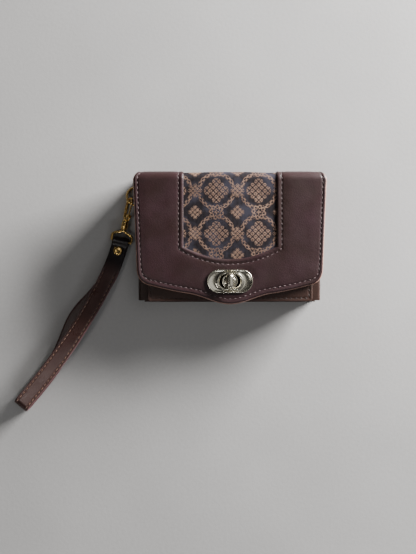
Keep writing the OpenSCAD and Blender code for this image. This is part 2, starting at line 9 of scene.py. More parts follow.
import bmesh
import bpy
import numpy as np
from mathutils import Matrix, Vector


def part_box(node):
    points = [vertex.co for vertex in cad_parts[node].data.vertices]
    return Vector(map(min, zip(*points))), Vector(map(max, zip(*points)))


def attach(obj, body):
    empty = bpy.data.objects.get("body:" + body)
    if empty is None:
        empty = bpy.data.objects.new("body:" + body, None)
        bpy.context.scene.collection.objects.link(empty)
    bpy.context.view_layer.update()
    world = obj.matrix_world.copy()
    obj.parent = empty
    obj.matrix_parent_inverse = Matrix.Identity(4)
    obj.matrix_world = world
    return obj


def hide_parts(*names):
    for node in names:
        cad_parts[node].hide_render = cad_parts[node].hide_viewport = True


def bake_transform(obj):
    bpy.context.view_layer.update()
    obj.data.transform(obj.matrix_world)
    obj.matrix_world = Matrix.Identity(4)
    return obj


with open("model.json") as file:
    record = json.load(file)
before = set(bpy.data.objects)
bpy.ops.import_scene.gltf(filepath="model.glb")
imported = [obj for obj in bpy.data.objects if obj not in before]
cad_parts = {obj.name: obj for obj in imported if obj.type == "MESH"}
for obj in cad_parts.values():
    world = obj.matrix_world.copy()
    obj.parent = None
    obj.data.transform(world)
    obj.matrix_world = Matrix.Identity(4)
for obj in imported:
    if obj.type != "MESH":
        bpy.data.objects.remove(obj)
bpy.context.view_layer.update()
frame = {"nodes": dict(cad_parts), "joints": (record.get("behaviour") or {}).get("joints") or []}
MM = 0.001


def joint(name):
    return next(j for j in frame["joints"] if j["name"] == name)


def box_mm(node):
    low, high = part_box(node)
    return np.array(low) / MM, np.array(high) / MM


def pos_mm(name):
    return np.array(joint(name)["pos_m"]) / MM


# ---------------------------------------------------------------- camera
CAMERA_AT = (-0.0148, -0.0263, 0.480)
CAMERA_LENS, CAMERA_SENSOR = 43.7, 36


def make_camera():
    """The camera looks straight down, as the photographer did."""
    data = bpy.data.cameras.new("camera")
    camera = bpy.data.objects.new("camera", data)
    bpy.context.scene.collection.objects.link(camera)
    camera.location = CAMERA_AT
    data.lens = CAMERA_LENS
    data.sensor_width = CAMERA_SENSOR
    bpy.context.scene.camera = camera


make_camera()


# ---------------------------------------------------------------- mesh helpers
def unit(v):
    v = np.asarray(v, float)
    return v / np.linalg.norm(v, axis=-1, keepdims=True)


def smooth(a, b, x):
    k = np.clip((np.asarray(x, float) - a) / (b - a), 0, 1)
    return k * k * (3 - 2 * k)


def make_object(name, points, faces, material, attributes=None):
    """A closed piece from points in mm. attributes are per-point floats or vectors."""
    mesh = bpy.data.meshes.new(name)
    mesh.from_pydata((np.asarray(points, float) * MM).tolist(), [], faces)
    for key, values in (attributes or {}).items():
        values = np.asarray(values, np.float32)
        kind = "FLOAT_VECTOR" if values.ndim == 2 else "FLOAT"
        layer = mesh.attributes.new(key, kind, "POINT")
        layer.data.foreach_set("vector" if values.ndim == 2 else "value", values.ravel())
    work = bmesh.new()
    work.from_mesh(mesh)
    bmesh.ops.recalc_face_normals(work, faces=work.faces)
    work.to_mesh(mesh)
    work.free()
    mesh.polygons.foreach_set("use_smooth", [True] * len(mesh.polygons))
    mesh.materials.append(material)
    piece = bpy.data.objects.new(name, mesh)
    bpy.context.scene.collection.objects.link(piece)
    return piece


def loft_faces(count, around, closed, first=0):
    """Faces of a tube through count loops of around points each, capped unless closed."""
    faces = []
    for i in range(count if closed else count - 1):
        a = first + i * around
        b = first + ((i + 1) % count) * around
        for k in range(around):
            n = (k + 1) % around
            faces.append((a + k, a + n, b + n, b + k))
    if not closed:
        faces.append(tuple(range(first, first + around)))
        last = first + (count - 1) * around
        faces.append(tuple(range(last + around - 1, last - 1, -1)))
    return faces


def loft(name, loops, material, closed=False, edge_wear_and_shading=None, **attributes):
    """One tube through loops of points, with one edge colour weight for each point, loop by loop; that
    edge colour is edge paint and wear, a painted highlight on the flap and a painted shade on the body.
    """
    loops = np.asarray(loops, float)
    if edge_wear_and_shading is not None:
        attributes["edge_wear_and_shading"] = np.array(edge_wear_and_shading).ravel()
    count, around, _ = loops.shape
    faces = loft_faces(count, around, closed)
    return make_object(name, loops.reshape(-1, 3), faces, material, attributes)


def loft_many(name, lofts, material):
    """One piece out of several separate tubes, each (loops, closed)."""
    points, faces, first = [], [], 0
    for loops, closed in lofts:
        loops = np.asarray(loops, float)
        count, around, _ = loops.shape
        faces += loft_faces(count, around, closed, first)
        points.append(loops.reshape(-1, 3))
        first += count * around
    return make_object(name, np.concatenate(points), faces, material)


def tube_loops(path, radius, sides=12, closed=False, up=(0, 0, 1)):
    """Loops round a path. radius is one number or one per point."""
    path = np.asarray(path, float)
    radius = np.broadcast_to(np.asarray(radius, float), (len(path),))
    if closed:
        ahead = unit(np.roll(path, -1, 0) - np.roll(path, 1, 0))
    else:
        ahead = unit(np.gradient(path, axis=0))
    across = np.cross(ahead, up)
    short = np.linalg.norm(across, axis=1) < 1e-6
    across[short] = (1, 0, 0)
    across = unit(across)
    for i in range(1, len(across)):
        if np.dot(across[i], across[i - 1]) < 0:
            across[i] *= -1
    over = np.cross(across, ahead)
    angles = np.linspace(0, 2 * math.pi, sides, endpoint=False)
    c, s = np.cos(angles)[None, :, None], np.sin(angles)[None, :, None]
    return path[:, None] + radius[:, None, None] * (across[:, None] * c + over[:, None] * s)


def stadium(w, h, count=64):
    """Points round a stadium w by h, counter-clockwise, evenly spaced."""
    r, straight = h / 2, w - h
    total = 2 * straight + 2 * math.pi * r
    points = []
    for d in np.linspace(0, total, count, endpoint=False):
        if d < straight:
            points.append((straight / 2 - d, r))
        elif d < straight + math.pi * r:
            a = math.pi / 2 + (d - straight) / r
            points.append((-straight / 2 + r * math.cos(a), r * math.sin(a)))
        elif d < 2 * straight + math.pi * r:
            points.append((-straight / 2 + d - straight - math.pi * r, -r))
        else:
            a = -math.pi / 2 + (d - 2 * straight - math.pi * r) / r
            points.append((straight / 2 + r * math.cos(a), r * math.sin(a)))
    return np.array(points)


def round_rect(w, h, r, per_corner=6):
    """Points round a rectangle w by h with corner radius r."""
    points = []
    for cx, cy, start in ((1, 1, 0), (-1, 1, 90), (-1, -1, 180), (1, -1, 270)):
        for a in np.radians(np.linspace(start, start + 90, per_corner)):
            x = cx * (w / 2 - r) + r * math.cos(a)
            points.append((x, cy * (h / 2 - r) + r * math.sin(a)))
    return np.array(points)


def stack(outline, levels, centre=(0, 0, 0)):
    """Loops of an outline(inset) at each (z, inset) level."""
    loops = []
    for z, inset in levels:
        flat = outline(inset)
        loops.append(np.column_stack([flat, np.full(len(flat), z)]))
    return np.array(loops) + np.asarray(centre, float)


def block(w, h, r, levels, per_corner=4):
    """Loops of a rounded rectangle at each (z, inset) level."""
    return stack(lambda inset: round_rect(w - 2 * inset, h - 2 * inset, r, per_corner), levels)


def lathe(profile, count, centre):
    """Loops of a piece turned about Z, from (z, radius) pairs."""
    around = np.linspace(0, 2 * math.pi, count, endpoint=False)
    circle = np.column_stack([np.cos(around), np.sin(around)])
    rings = [np.column_stack([r * circle, np.full(count, z)]) for z, r in profile]
    return np.array(rings) + centre


def rounded_levels(z0, z1, r, steps=5):
    """Levels of a block from z0 to z1 with edges rounded by r, for stack()."""
    turn = np.linspace(0, math.pi / 2, steps)
    low = [(z0 + r - r * math.cos(a), r - r * math.sin(a)) for a in turn]
    high = [(z1 - r + r * math.sin(a), r - r * math.cos(a)) for a in turn]
    return low + high


def place(points, origin, x_axis, y_axis, z_axis):
    """Points of a local frame, put into the CAD's frame."""
    points = np.asarray(points, float)
    return np.asarray(origin) + points @ np.array([x_axis, y_axis, z_axis], float)


def dip(distance, width):
    """A bell from 1 at distance 0 towards 0, which draws grooves, seams and worn edges."""
    return np.exp(-((distance / width) ** 2))


def path_steps(path):
    """Length along a path up to each of its points."""
    return np.concatenate([[0], np.cumsum(np.linalg.norm(np.diff(path, axis=0), axis=1))])


def path_at(wanted, steps, path):
    """Points at the wanted lengths along a path."""
    return np.stack([np.interp(wanted, steps, path[:, k]) for k in range(path.shape[1])], -1)


def resample(path, count, bias=1.0):
    """Points along a path, evenly spaced, or closer to its start where bias is over 1."""
    path = np.asarray(path, float)
    steps = path_steps(path)
    return path_at(steps[-1] * np.linspace(0, 1, count) ** bias, steps, path)


def dress(piece, slot, body, *nodes):
    """Puts a rigid piece on its body's empty and hides the CAD nodes that it stands for. slot is not used.
    """
    if nodes:
        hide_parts(*nodes)
    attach(piece, body)


def dress_fold(piece, slot, fold, *nodes):
    """Hides the CAD nodes that a piece shaped round one of the cover's folds stands for, and bakes its
    transform into its mesh. slot and fold are not used.
    """
    if nodes:
        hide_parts(*nodes)
    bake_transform(piece)


def wobble(x, y, size, seed=0.0):
    """Smooth repeatable unevenness between about -1 and 1, of a given wavelength in mm."""
    u, v = np.asarray(x) * 2 * math.pi / size, np.asarray(y) * 2 * math.pi / size
    return (
        np.sin(u + 1.7 * seed + 1.3 * np.sin(0.7 * v + seed))
        + np.sin(0.8 * v - 2.1 * seed + 1.1 * np.sin(0.6 * u - seed))
        + np.sin(0.55 * (u + v) + 3.1 * seed)
    ) / 3


# ---------------------------------------------------------------- materials
class Shader:
    """A material under construction, with short ways to add and join its nodes."""

    def __init__(self, name, **settings):
        self.material = bpy.data.materials.new(name)
        self.material.use_nodes = True
        self.tree = self.material.node_tree
        self.surface = self.tree.nodes["Principled BSDF"]
        self.coordinates = self.add("ShaderNodeTexCoord").outputs["Object"]
        for key, value in settings.items():
            self.surface.inputs[key.replace("_", " ")].default_value = value

    def add(self, kind, **properties):
        node = self.tree.nodes.new(kind)
        for key, value in properties.items():
            setattr(node, key, value)
        return node

    def join(self, value, socket):
        if isinstance(value, bpy.types.NodeSocket):
            self.tree.links.new(value, socket)
        else:
            socket.default_value = value

    def math(self, operation, a, b=0.0, clamp=False):
        node = self.add("ShaderNodeMath", operation=operation, use_clamp=clamp)
        self.join(a, node.inputs[0])
        self.join(b, node.inputs[1])
        return node.outputs[0]

    def blend(self, factor, a, b, mode="MIX"):
        node = self.add("ShaderNodeMix", data_type="RGBA", blend_type=mode)
        self.join(factor, node.inputs[0])
        self.join(a, node.inputs[6])
        self.join(b, node.inputs[7])
        return node.outputs[2]

    def scaled(self, scale, source=None):
        node = self.add("ShaderNodeMapping")
        self.join(source or self.coordinates, node.inputs["Vector"])
        node.inputs["Scale"].default_value = scale
        return node.outputs[0]

    def noise(self, size_mm, detail=3.0, source=None, roughness=0.5):
        """Noise from 0 to 1 with features of about size_mm."""
        node = self.add("ShaderNodeTexNoise")
        self.join(source or self.coordinates, node.inputs["Vector"])
        node.inputs["Scale"].default_value = 1000 / size_mm
        node.inputs["Detail"].default_value = detail
        node.inputs["Roughness"].default_value = roughness
        return node.outputs[0]

    def cells(self, size_mm, feature="F1", source=None):
        node = self.add("ShaderNodeTexVoronoi", feature=feature)
        self.join(source or self.coordinates, node.inputs["Vector"])
        node.inputs["Scale"].default_value = 1000 / size_mm
        return node.outputs["Distance"]

    def span(self, value, from_low, from_high, to_low=0.0, to_high=1.0, smoothly=False):
        node = self.add("ShaderNodeMapRange")
        if smoothly:
            node.interpolation_type = "SMOOTHSTEP"
        for socket, v in zip(node.inputs[:5], (value, from_low, from_high, to_low, to_high)):
            self.join(v, socket)
        return node.outputs[0]

    def attribute(self, name):
        return self.add("ShaderNodeAttribute", attribute_name=name)

    def bump(self, height, depth_mm, strength=1.0, under=None):
        node = self.add("ShaderNodeBump")
        node.inputs["Strength"].default_value = strength
        node.inputs["Distance"].default_value = depth_mm * MM
        self.join(height, node.inputs["Height"])
        if under is not None:
            self.join(under, node.inputs["Normal"])
        return node.outputs[0]

    def finish(self, colour=None, roughness=None, normal=None):
        for value, name in ((colour, "Base Color"), (roughness, "Roughness"), (normal, "Normal")):
            if value is not None:
                self.join(value, self.surface.inputs[name])
        return self.material


def rgb(r, g, b):
    """Linear colour from 8-bit sRGB."""
    linear = [((c / 255 + 0.055) / 1.055) ** 2.4 if c > 10 else c / 3294 for c in (r, g, b)]
    return (*linear, 1.0)


def leather_material(name, dark, light, edge=None, rough=(0.34, 0.5), grain_mm=0.75, dye=None):
    """Fine-grained leather. A piece's edge weight attribute mixes in the edge colour: edge paint and wear,
    with a painted highlight on the flap and a painted shade on the body. The strap's dark weight mixes in
    a darker skin that is partly a painted shadow.
    """
    s = Shader(name, Specular_IOR_Level=0.36)
    cloudy = s.noise(26, 4)
    mottle = s.noise(5, 3)
    mix = s.math("ADD", s.math("MULTIPLY", cloudy, 0.8), s.math("MULTIPLY", mottle, 0.2))
    colour = s.blend(s.span(mix, 0.3, 0.7), dark, light)
    grain = s.cells(grain_mm, "SMOOTH_F1")
    creases = s.cells(grain_mm * 1.9, "DISTANCE_TO_EDGE")
    # painted shade: the colour is darkened in the grain's creases
    painted_crease_shade = s.span(creases, 0.0, 0.12, 0.86, 1.0)
    colour = s.blend(1.0, colour, painted_crease_shade, "MULTIPLY")
    # edge colour by the edge weight: edge paint and wear, painted highlight on the flap, painted shade on
    # the body
    if edge is not None:
        edge_wear_and_shading = s.attribute("edge_wear_and_shading").outputs["Fac"]
        broken = s.span(s.math("ADD", edge_wear_and_shading, s.span(s.noise(1.6), 0.3, 0.7, -0.22, 0.22)), 0.35, 0.75)
        colour = s.blend(broken, colour, edge)
    # the darker skin near the strap's eye, partly a painted shadow
    if dye is not None:
        colour = s.blend(s.attribute("dye").outputs["Fac"], colour, dye)
    smudge = s.noise(14, 3)
    roughness = s.span(s.math("ADD", smudge, s.math("MULTIPLY", grain, 0.25)), 0.35, 0.8, *rough)
    normal = s.bump(grain, 0.035)
    normal = s.bump(s.span(creases, 0.0, 0.16), 0.022, under=normal)
    normal = s.bump(s.noise(12, 2), 0.16, 0.5, under=normal)
    return s.finish(colour, roughness, normal)


def weave_material(name, base, raised, warp_mm=0.4, weft_mm=0.55, twill=True):
    """Plain or twill cloth, from threads that run along the piece's flat coordinates."""
    s = Shader(name, Specular_IOR_Level=0.12, Roughness=0.82)
    flat = s.attribute("flat").outputs["Vector"]
    part = s.add("ShaderNodeSeparateXYZ")
    s.join(flat, part.inputs[0])
    x, y = part.outputs[0], part.outputs[1]
    warp = s.math("SINE", s.math("MULTIPLY", x, 2 * math.pi / warp_mm))
    slant = s.math("ADD", s.math("DIVIDE", x, warp_mm), s.math("DIVIDE", y, weft_mm))
    across, period = (slant, 3) if twill else (y, weft_mm)
    ribs = s.math("SINE", s.math("MULTIPLY", across, 2 * math.pi / period))
    height = s.math("ADD", s.math("MULTIPLY", warp, 0.35), s.math("MULTIPLY", ribs, 0.65))
    lit = s.span(height, -0.9, 0.9)
    uneven = s.span(s.noise(11, 4), 0.3, 0.7, 0.0, 0.55)
    colour = s.blend(s.math("ADD", s.math("MULTIPLY", lit, 0.6), uneven, clamp=True), base, raised)
    return s.finish(colour, None, s.bump(height, 0.09))


def metal_material(name, colour, tarnish, rough=(0.09, 0.22)):
    """Plated metal with faint smudges, hairline scratches and dull specks."""
    s = Shader(name, Metallic=1.0)
    scratches = s.noise(1.0, 2, s.scaled((0.12, 1.0, 1.0)))
    lines = s.span(scratches, 0.60, 0.68)
    smudge = s.noise(4.5, 4)
    tint = s.blend(s.span(smudge, 0.45, 0.75, 0.0, 0.4), colour, tarnish)
    roughness = s.math("ADD", s.span(smudge, 0.35, 0.7, *rough), s.math("MULTIPLY", lines, 0.04))
    return s.finish(tint, roughness, s.bump(s.noise(1.4, 1), 0.0016))


def thread_material(name, dark, light):
    """Twisted thread, with slanting plies painted lighter and darker along the twist, a painted shading of
    the plies mixed with random tone.
    """
    s = Shader(name, Roughness=0.6, Sheen_Weight=0.2)
    twist = s.add("ShaderNodeTexWave", bands_direction="DIAGONAL")
    s.join(s.coordinates, twist.inputs["Vector"])
    twist.inputs["Scale"].default_value = 900
    twist.inputs["Distortion"].default_value = 1.5
    mix = s.math("ADD", s.math("MULTIPLY", twist.outputs[1], 0.5), s.math("MULTIPLY", s.noise(7), 0.5))
    return s.finish(s.blend(mix, dark, light), None, s.bump(twist.outputs[1], 0.06))


def tape_material():
    """Herringbone zip tape, painted lighter on its ribs and darker between them, a painted shading of the
    weave.
    """
    s = Shader("zip_tape_cloth", Roughness=0.8, Sheen_Weight=0.2)
    part = s.add("ShaderNodeSeparateXYZ")
    s.join(s.coordinates, part.inputs[0])
    zig = s.math("PINGPONG", s.math("MULTIPLY", part.outputs[2], 1000), 0.9)
    along = s.math("MULTIPLY", part.outputs[0], 1000)
    rib = s.math("SINE", s.math("MULTIPLY", s.math("ADD", along, zig), 2 * math.pi / 0.55))
    colour = s.blend(s.span(rib, -1.0, 1.0), rgb(24, 16, 16), rgb(52, 37, 36))
    return s.finish(colour, None, s.bump(rib, 0.08))


def board_material():
    """Pressed board with flecks."""
    s = Shader("pressed_board", Roughness=0.85)
    fleck = s.noise(0.8, 5, roughness=0.7)
    colour = s.blend(s.span(fleck, 0.3, 0.7), rgb(92, 70, 54), rgb(142, 112, 88))
    return s.finish(colour, None, s.bump(fleck, 0.08))


class Pattern:
    """Builds the woven motif as a mask from node arithmetic on thread coordinates in mm."""

    def __init__(self, shader):
        self.s = shader

    def cell(self, value, period, centre):
        """Distance along one axis to the nearest motif centre, signed."""
        turn = self.s.math("DIVIDE", self.s.math("SUBTRACT", value, centre), period)
        part = self.s.math("SUBTRACT", turn, self.s.math("ROUND", turn))
        return self.s.math("MULTIPLY", part, period)

    def polar(self, dx, dy):
        m = self.s.math
        radius = m("SQRT", m("ADD", m("MULTIPLY", dx, dx), m("MULTIPLY", dy, dy)))
        return radius, m("ARCTAN2", dy, dx)

    def below(self, value, limit, soft=0.25):
        """1 where value is under limit, 0 above."""
        return self.s.span(self.s.math("SUBTRACT", value, limit), -soft, soft, 1.0, 0.0)

    def band(self, value, middle, half):
        return self.below(self.s.math("ABSOLUTE", self.s.math("SUBTRACT", value, middle)), half)

    def both(self, *masks):
        made = masks[0]
        for mask in masks[1:]:
            made = self.s.math("MAXIMUM", made, mask)
        return made

    def florets(self, dx, dy, period, limit):
        """Small rounded shapes on a slanting lattice about a motif's centre."""
        m = self.s.math
        along = m("COSINE", m("MULTIPLY", dx, 2 * math.pi / period))
        up = m("COSINE", m("MULTIPLY", dy, 2 * math.pi / period))
        height = m("ABSOLUTE", m("MULTIPLY", m("ADD", along, up), 0.5))
        return self.s.span(height, limit - 0.06, limit + 0.06)

    def scrolls(self, radius, angle, count, width):
        """Short strokes in rings about a motif's centre, staggered from ring to ring."""
        m = self.s.math
        rings = m("SINE", m("MULTIPLY", radius, 2 * math.pi / width))
        spokes = m("SINE", m("MULTIPLY", angle, float(count)))
        return self.s.span(m("MULTIPLY", rings, spokes), -0.22, -0.08)

    def petals(self, radius, angle, count, low, high, turn=0.0):
        """A flower whose outline runs between radius low and high."""
        m = self.s.math
        wave = m("COSINE", m("MULTIPLY", m("ADD", angle, turn), float(count)))
        outline = self.s.span(wave, -1.0, 1.0, low, high)
        return self.below(m("SUBTRACT", radius, outline), 0.0)


def brocade_material():
    """The figured cloth in the window: rings, diamonds and small flowers in a woven ground."""
    s = Shader("brocade_cloth", Specular_IOR_Level=0.12)
    flat = s.attribute("flat").outputs["Vector"]
    thread = s.add("ShaderNodeVectorMath", operation="SNAP")
    s.join(flat, thread.inputs[0])
    thread.inputs[1].default_value = (0.34, 0.30, 1.0)
    part, raw = s.add("ShaderNodeSeparateXYZ"), s.add("ShaderNodeSeparateXYZ")
    s.join(thread.outputs[0], part.inputs[0])
    s.join(flat, raw.inputs[0])
    x, y = part.outputs[0], part.outputs[1]
    m, p = s.math, Pattern(s)
    wide, tall, mid_x, mid_y = 28.6, 28.9, -9.4, 2.8
    # a chain of scrolls in a ring round each centre
    dx, dy = p.cell(x, wide, mid_x), p.cell(y, tall, mid_y)
    radius, angle = p.polar(dx, dy)
    chain = m("MULTIPLY", p.band(radius, 11.7, 1.25), p.scrolls(radius, angle, 20, 2.3))
    # diamond of florets with lobed sides and a flower in its middle
    across = m("ADD", m("ABSOLUTE", dx), m("ABSOLUTE", dy))
    lobed = m("ADD", across, m("MULTIPLY", m("COSINE", m("MULTIPLY", angle, 12.0)), 0.7))
    medallion = m("MULTIPLY", p.below(lobed, 9.2), p.florets(dx, dy, 4.2, 0.24))
    gaps = m("MULTIPLY", p.florets(dx, dy, 2.1, 0.6), 0.75)
    medallion = m("MULTIPLY", medallion, m("SUBTRACT", 1.0, gaps))
    # rosette where rings meet side by side, and a looser one where they meet above each other
    hx, vy = p.cell(x, wide, mid_x + wide / 2), p.cell(y, tall, mid_y + tall / 2)
    hr, ha = p.polar(hx, dy)
    rosette = m("MULTIPLY", p.petals(hr, ha, 8, 3.9, 4.9), p.florets(hx, dy, 2.9, 0.2))
    vr, va = p.polar(dx, vy)
    loose = m("MULTIPLY", p.band(vr, 3.6, 1.4), p.scrolls(vr, va, 8, 2.8))
    loose = p.both(loose, p.petals(vr, va, 4, 0.6, 1.7))
    # small pointed flowers between four rings
    points = m("ADD", m("ABSOLUTE", hx), m("ABSOLUTE", vy))
    flower = m("MULTIPLY", p.below(points, 5.2), p.florets(hx, vy, 3.1, 0.18))
    free = m("SUBTRACT", 1.0, p.both(p.below(hr, 4.9), p.below(vr, 5.1)))
    motif = p.both(m("MULTIPLY", chain, free), medallion, rosette, loose, flower)
    motif = m("MULTIPLY", motif, s.span(s.noise(0.9, 2), 0.36, 0.5, 0.35, 1.0), clamp=True)
    # threads: upright cords in the ground, floats across them in the motif; both are painted lighter on
    # the threads' crests and darker between them, a painted shading of the threads
    cords = m("SINE", m("MULTIPLY", raw.outputs[0], 2 * math.pi / 0.68))
    picks = m("SINE", m("MULTIPLY", raw.outputs[1], 2 * math.pi / 0.60))
    broad = m("SINE", m("MULTIPLY", raw.outputs[0], 2 * math.pi / 2.72))
    shade = s.span(m("ADD", m("MULTIPLY", cords, 0.75), m("MULTIPLY", broad, 0.25)), -1.0, 1.0)
    ground = s.blend(shade, rgb(22, 18, 20), rgb(42, 37, 42))
    # lighter blue-grey patches in the ground, a painted sheen on the puffed cloth
    ground = s.blend(s.span(s.noise(15, 3), 0.46, 0.6, 0.0, 0.6), ground, rgb(64, 63, 76))
    figure = s.blend(s.span(picks, -1.0, 1.0), rgb(100, 76, 64), rgb(172, 141, 122))
    # darker patches in the figure, a painted shade on the puffed cloth
    figure = s.blend(s.span(s.noise(13, 3), 0.35, 0.65, 0.0, 0.6), figure, rgb(92, 68, 58))
    colour = s.blend(m("MULTIPLY", motif, 0.86), ground, figure)
    relief = m("ADD", m("MULTIPLY", m("ADD", cords, picks), 0.22), m("MULTIPLY", motif, 0.6))
    roughness = s.span(motif, 0.0, 1.0, 0.72, 0.5)
    return s.finish(colour, roughness, s.bump(relief, 0.11))


# the flap's light edge colour is partly edge paint and partly a painted highlight along the edge
AUBERGINE = leather_material(
    "flap_leather", rgb(41, 26, 23), rgb(54, 33, 39), edge=rgb(168, 130, 118), rough=(0.34, 0.48)
)
# the body's dark edge colour is a painted shade along its edges, grooves and fold crests
BROWN = leather_material(
    "body_leather", rgb(46, 30, 25), rgb(64, 43, 37), edge=rgb(50, 34, 29), rough=(0.36, 0.5)
)
# the strap's dark colour near the eye is partly a darker skin and partly a painted shadow of the wallet
STRAP_LEATHER = leather_material(
    "strap_leather", rgb(70, 49, 47), rgb(88, 64, 60), edge=rgb(104, 72, 74), rough=(0.24, 0.36),
    grain_mm=0.6, dye=rgb(24, 13, 16),
)
POCKET_LEATHER = leather_material(
    "pocket_leather", rgb(44, 28, 26), rgb(62, 42, 37), edge=rgb(128, 96, 82), rough=(0.42, 0.6)
)
LINING = weave_material("lining_twill", rgb(30, 20, 20), rgb(66, 47, 45))
PLAIN_CLOTH = weave_material("pouch_cloth", rgb(34, 23, 22), rgb(72, 52, 48), 0.5, 0.5, twill=False)
# near-black material for the ring in the lock's slot, a painted shade of the cavity
SLOT_SHADE = leather_material("painted_slot_shade", rgb(9, 7, 7), rgb(18, 13, 13), rough=(0.8, 0.95), grain_mm=0.4)
TAPE = tape_material()
BOARD = board_material()
BROCADE = brocade_material()
GOLD = metal_material("gold_plating", rgb(244, 204, 128), rgb(196, 150, 80), (0.2, 0.32))
NICKEL = metal_material("nickel_plating", rgb(228, 223, 206), rgb(176, 168, 146), (0.17, 0.28))
EDGE_THREAD = thread_material("edge_thread", rgb(50, 35, 38), rgb(100, 77, 79))
STRAP_THREAD = thread_material("strap_thread", rgb(96, 66, 52), rgb(150, 112, 92))
DARK_THREAD = thread_material("dark_thread", rgb(30, 20, 18), rgb(54, 38, 34))


# ---------------------------------------------------------------- cover: flat layout
# The cover is laid out flat as (x, v). v equals Y on the flap, then runs on over the top fold and
# down the spine. cover_point() folds it, with h the height above the leather's outer surface.
BACK_LOW, BACK_HIGH = box_mm("back_panel")
FLAP_HIGH = box_mm("flap_leather")[1]
FOLD_LOW, FOLD_HIGH = box_mm("top_fold")
PLATE_LOW, PLATE_HIGH = box_mm("lock_plate")
FABRIC_LOW, FABRIC_HIGH = box_mm("flap_fabric")
TOP_Z = FLAP_HIGH[2]
FOLD_Y, FOLD_Z = FOLD_LOW[1], FOLD_LOW[2]
FOLD_R = FOLD_HIGH[1] - FOLD_Y
SPINE_Y = FOLD_HIGH[1]
FOLD_ARC = FOLD_R * math.pi / 2
SEAM_Z = 6.0
COVER_END = FOLD_Y + FOLD_ARC + FOLD_Z - SEAM_Z
FLAP_T = TOP_Z - box_mm("flap_lining")[0][2]
BODY_HALF = BACK_HIGH[0]
FLAP_HALF = FLAP_HIGH[0]
LOCK_Y = pos_mm("knob_turn")[1]
CORNER_V = -21.0
CORNER_HALF = FLAP_HALF - 2.5
CORNER_X = 53.0
WINDOW_HALF = FABRIC_HIGH[0] + 0.2
WINDOW_LOW = FABRIC_LOW[1] - 0.2
WINDOW_RISE = 8.6
STITCH_PITCH = 3.45
WINDOW_INSET = 3.4
TONGUE_HALF, TONGUE_DROP = 28, 5.2
LOCK_HOLE = (17, 12)


def cover_point(x, v, h):
    """The folded place of flat points (x, v) at height h."""
    x, v, h = np.broadcast_arrays(np.asarray(x, float), v, h)
    turn = np.clip((v - FOLD_Y) / FOLD_R, 0, math.pi / 2)
    flap_rest = np.minimum(v - FOLD_Y, 0)
    spine_rest = np.maximum(v - FOLD_Y - FOLD_ARC, 0)
    y = FOLD_Y + (FOLD_R + h) * np.sin(turn) + flap_rest
    z = FOLD_Z + (FOLD_R + h) * np.cos(turn) - spine_rest
    return np.stack([x, y, z], -1)


def flap_low(x):
    """The flap's lower edge, with the tongue under the lock."""
    swell = np.cos(np.radians(90 * x / TONGUE_HALF)) ** 2
    tongue = np.where(np.abs(x) < TONGUE_HALF, TONGUE_DROP * swell, 0)
    return -(39.6 - 0.00265 * x * x) - tongue


def cover_half(v):
    """Half width of the cover above its lower corners."""
    slope = (FLAP_HALF - CORNER_HALF) / (FOLD_Y - CORNER_V)
    drawn_in = (FLAP_HALF - BODY_HALF) * smooth(FOLD_Y, FOLD_Y + FOLD_ARC, v)
    return FLAP_HALF - slope * np.maximum(FOLD_Y - v, 0) - drawn_in


def window_low(x):
    """The window's lower edge."""
    return WINDOW_LOW + WINDOW_RISE * (x / WINDOW_HALF) ** 2


WINDOW_SIDE_END = float(window_low(WINDOW_HALF))


def outline_bottom():
    """Right half of the flap's edge, from level with the window's corner to the middle."""
    side = [(float(cover_half(v)), v) for v in np.linspace(WINDOW_SIDE_END, CORNER_V, 12)]
    a, b = np.array([CORNER_HALF, CORNER_V]), np.array([CORNER_HALF - 0.4, -30.6])
    c = np.array([CORNER_X, float(flap_low(CORNER_X))])
    corner = [(1 - t) ** 2 * a + 2 * t * (1 - t) * b + t * t * c for t in np.linspace(0, 1, 16)[1:]]
    low = [(x, float(flap_low(x))) for x in np.linspace(CORNER_X, 0, 60)[1:]]
    return np.array(side + [tuple(p) for p in corner] + low)


def window_bottom():
    """Right half of the window's lower edge, from its corner to the middle."""
    return np.array([(x, float(window_low(x))) for x in np.linspace(WINDOW_HALF, 0, 60)])


def mirrored(path):
    """A right half path and its mirror image, as one path from right to left."""
    return np.concatenate([path, (path * (-1, 1))[::-1][1:]])


SIDE_V = np.linspace(COVER_END, WINDOW_SIDE_END, 70)[:-1]
OUTER_RIGHT = np.concatenate([
    np.column_stack([cover_half(SIDE_V), SIDE_V]),
    resample(outline_bottom(), 74),
])
INNER_RIGHT = np.concatenate([
    np.column_stack([np.full(len(SIDE_V), WINDOW_HALF), SIDE_V]),
    resample(window_bottom(), 74, 1.25),
])
OUTER = mirrored(OUTER_RIGHT)
INNER = mirrored(INNER_RIGHT)


def distance_to(path, points):
    """Shortest distance of each point to a path."""
    a, b = path[:-1], path[1:]
    d = b - a
    best = np.full(len(points), 1e9)
    for start, step in zip(a, d):
        t = np.clip(((points - start) @ step) / (step @ step), 0, 1)
        best = np.minimum(best, np.linalg.norm(points - start - t[:, None] * step, axis=1))
    return best


def edge_inset(v):
    """How far the outer stitches stand in from the flap's edge."""
    return 2.8 + 0.9 * smooth(12, 38, -np.asarray(v, float))


def plate_gap(points):
    """Distance outside the lock plate's outline."""
    half_w, half_h = PLATE_HIGH[0], (PLATE_HIGH[1] - PLATE_LOW[1]) / 2
    middle = np.clip(points[:, 0], -(half_w - half_h), half_w - half_h)
    return np.hypot(points[:, 0] - middle, points[:, 1] - LOCK_Y) - half_h


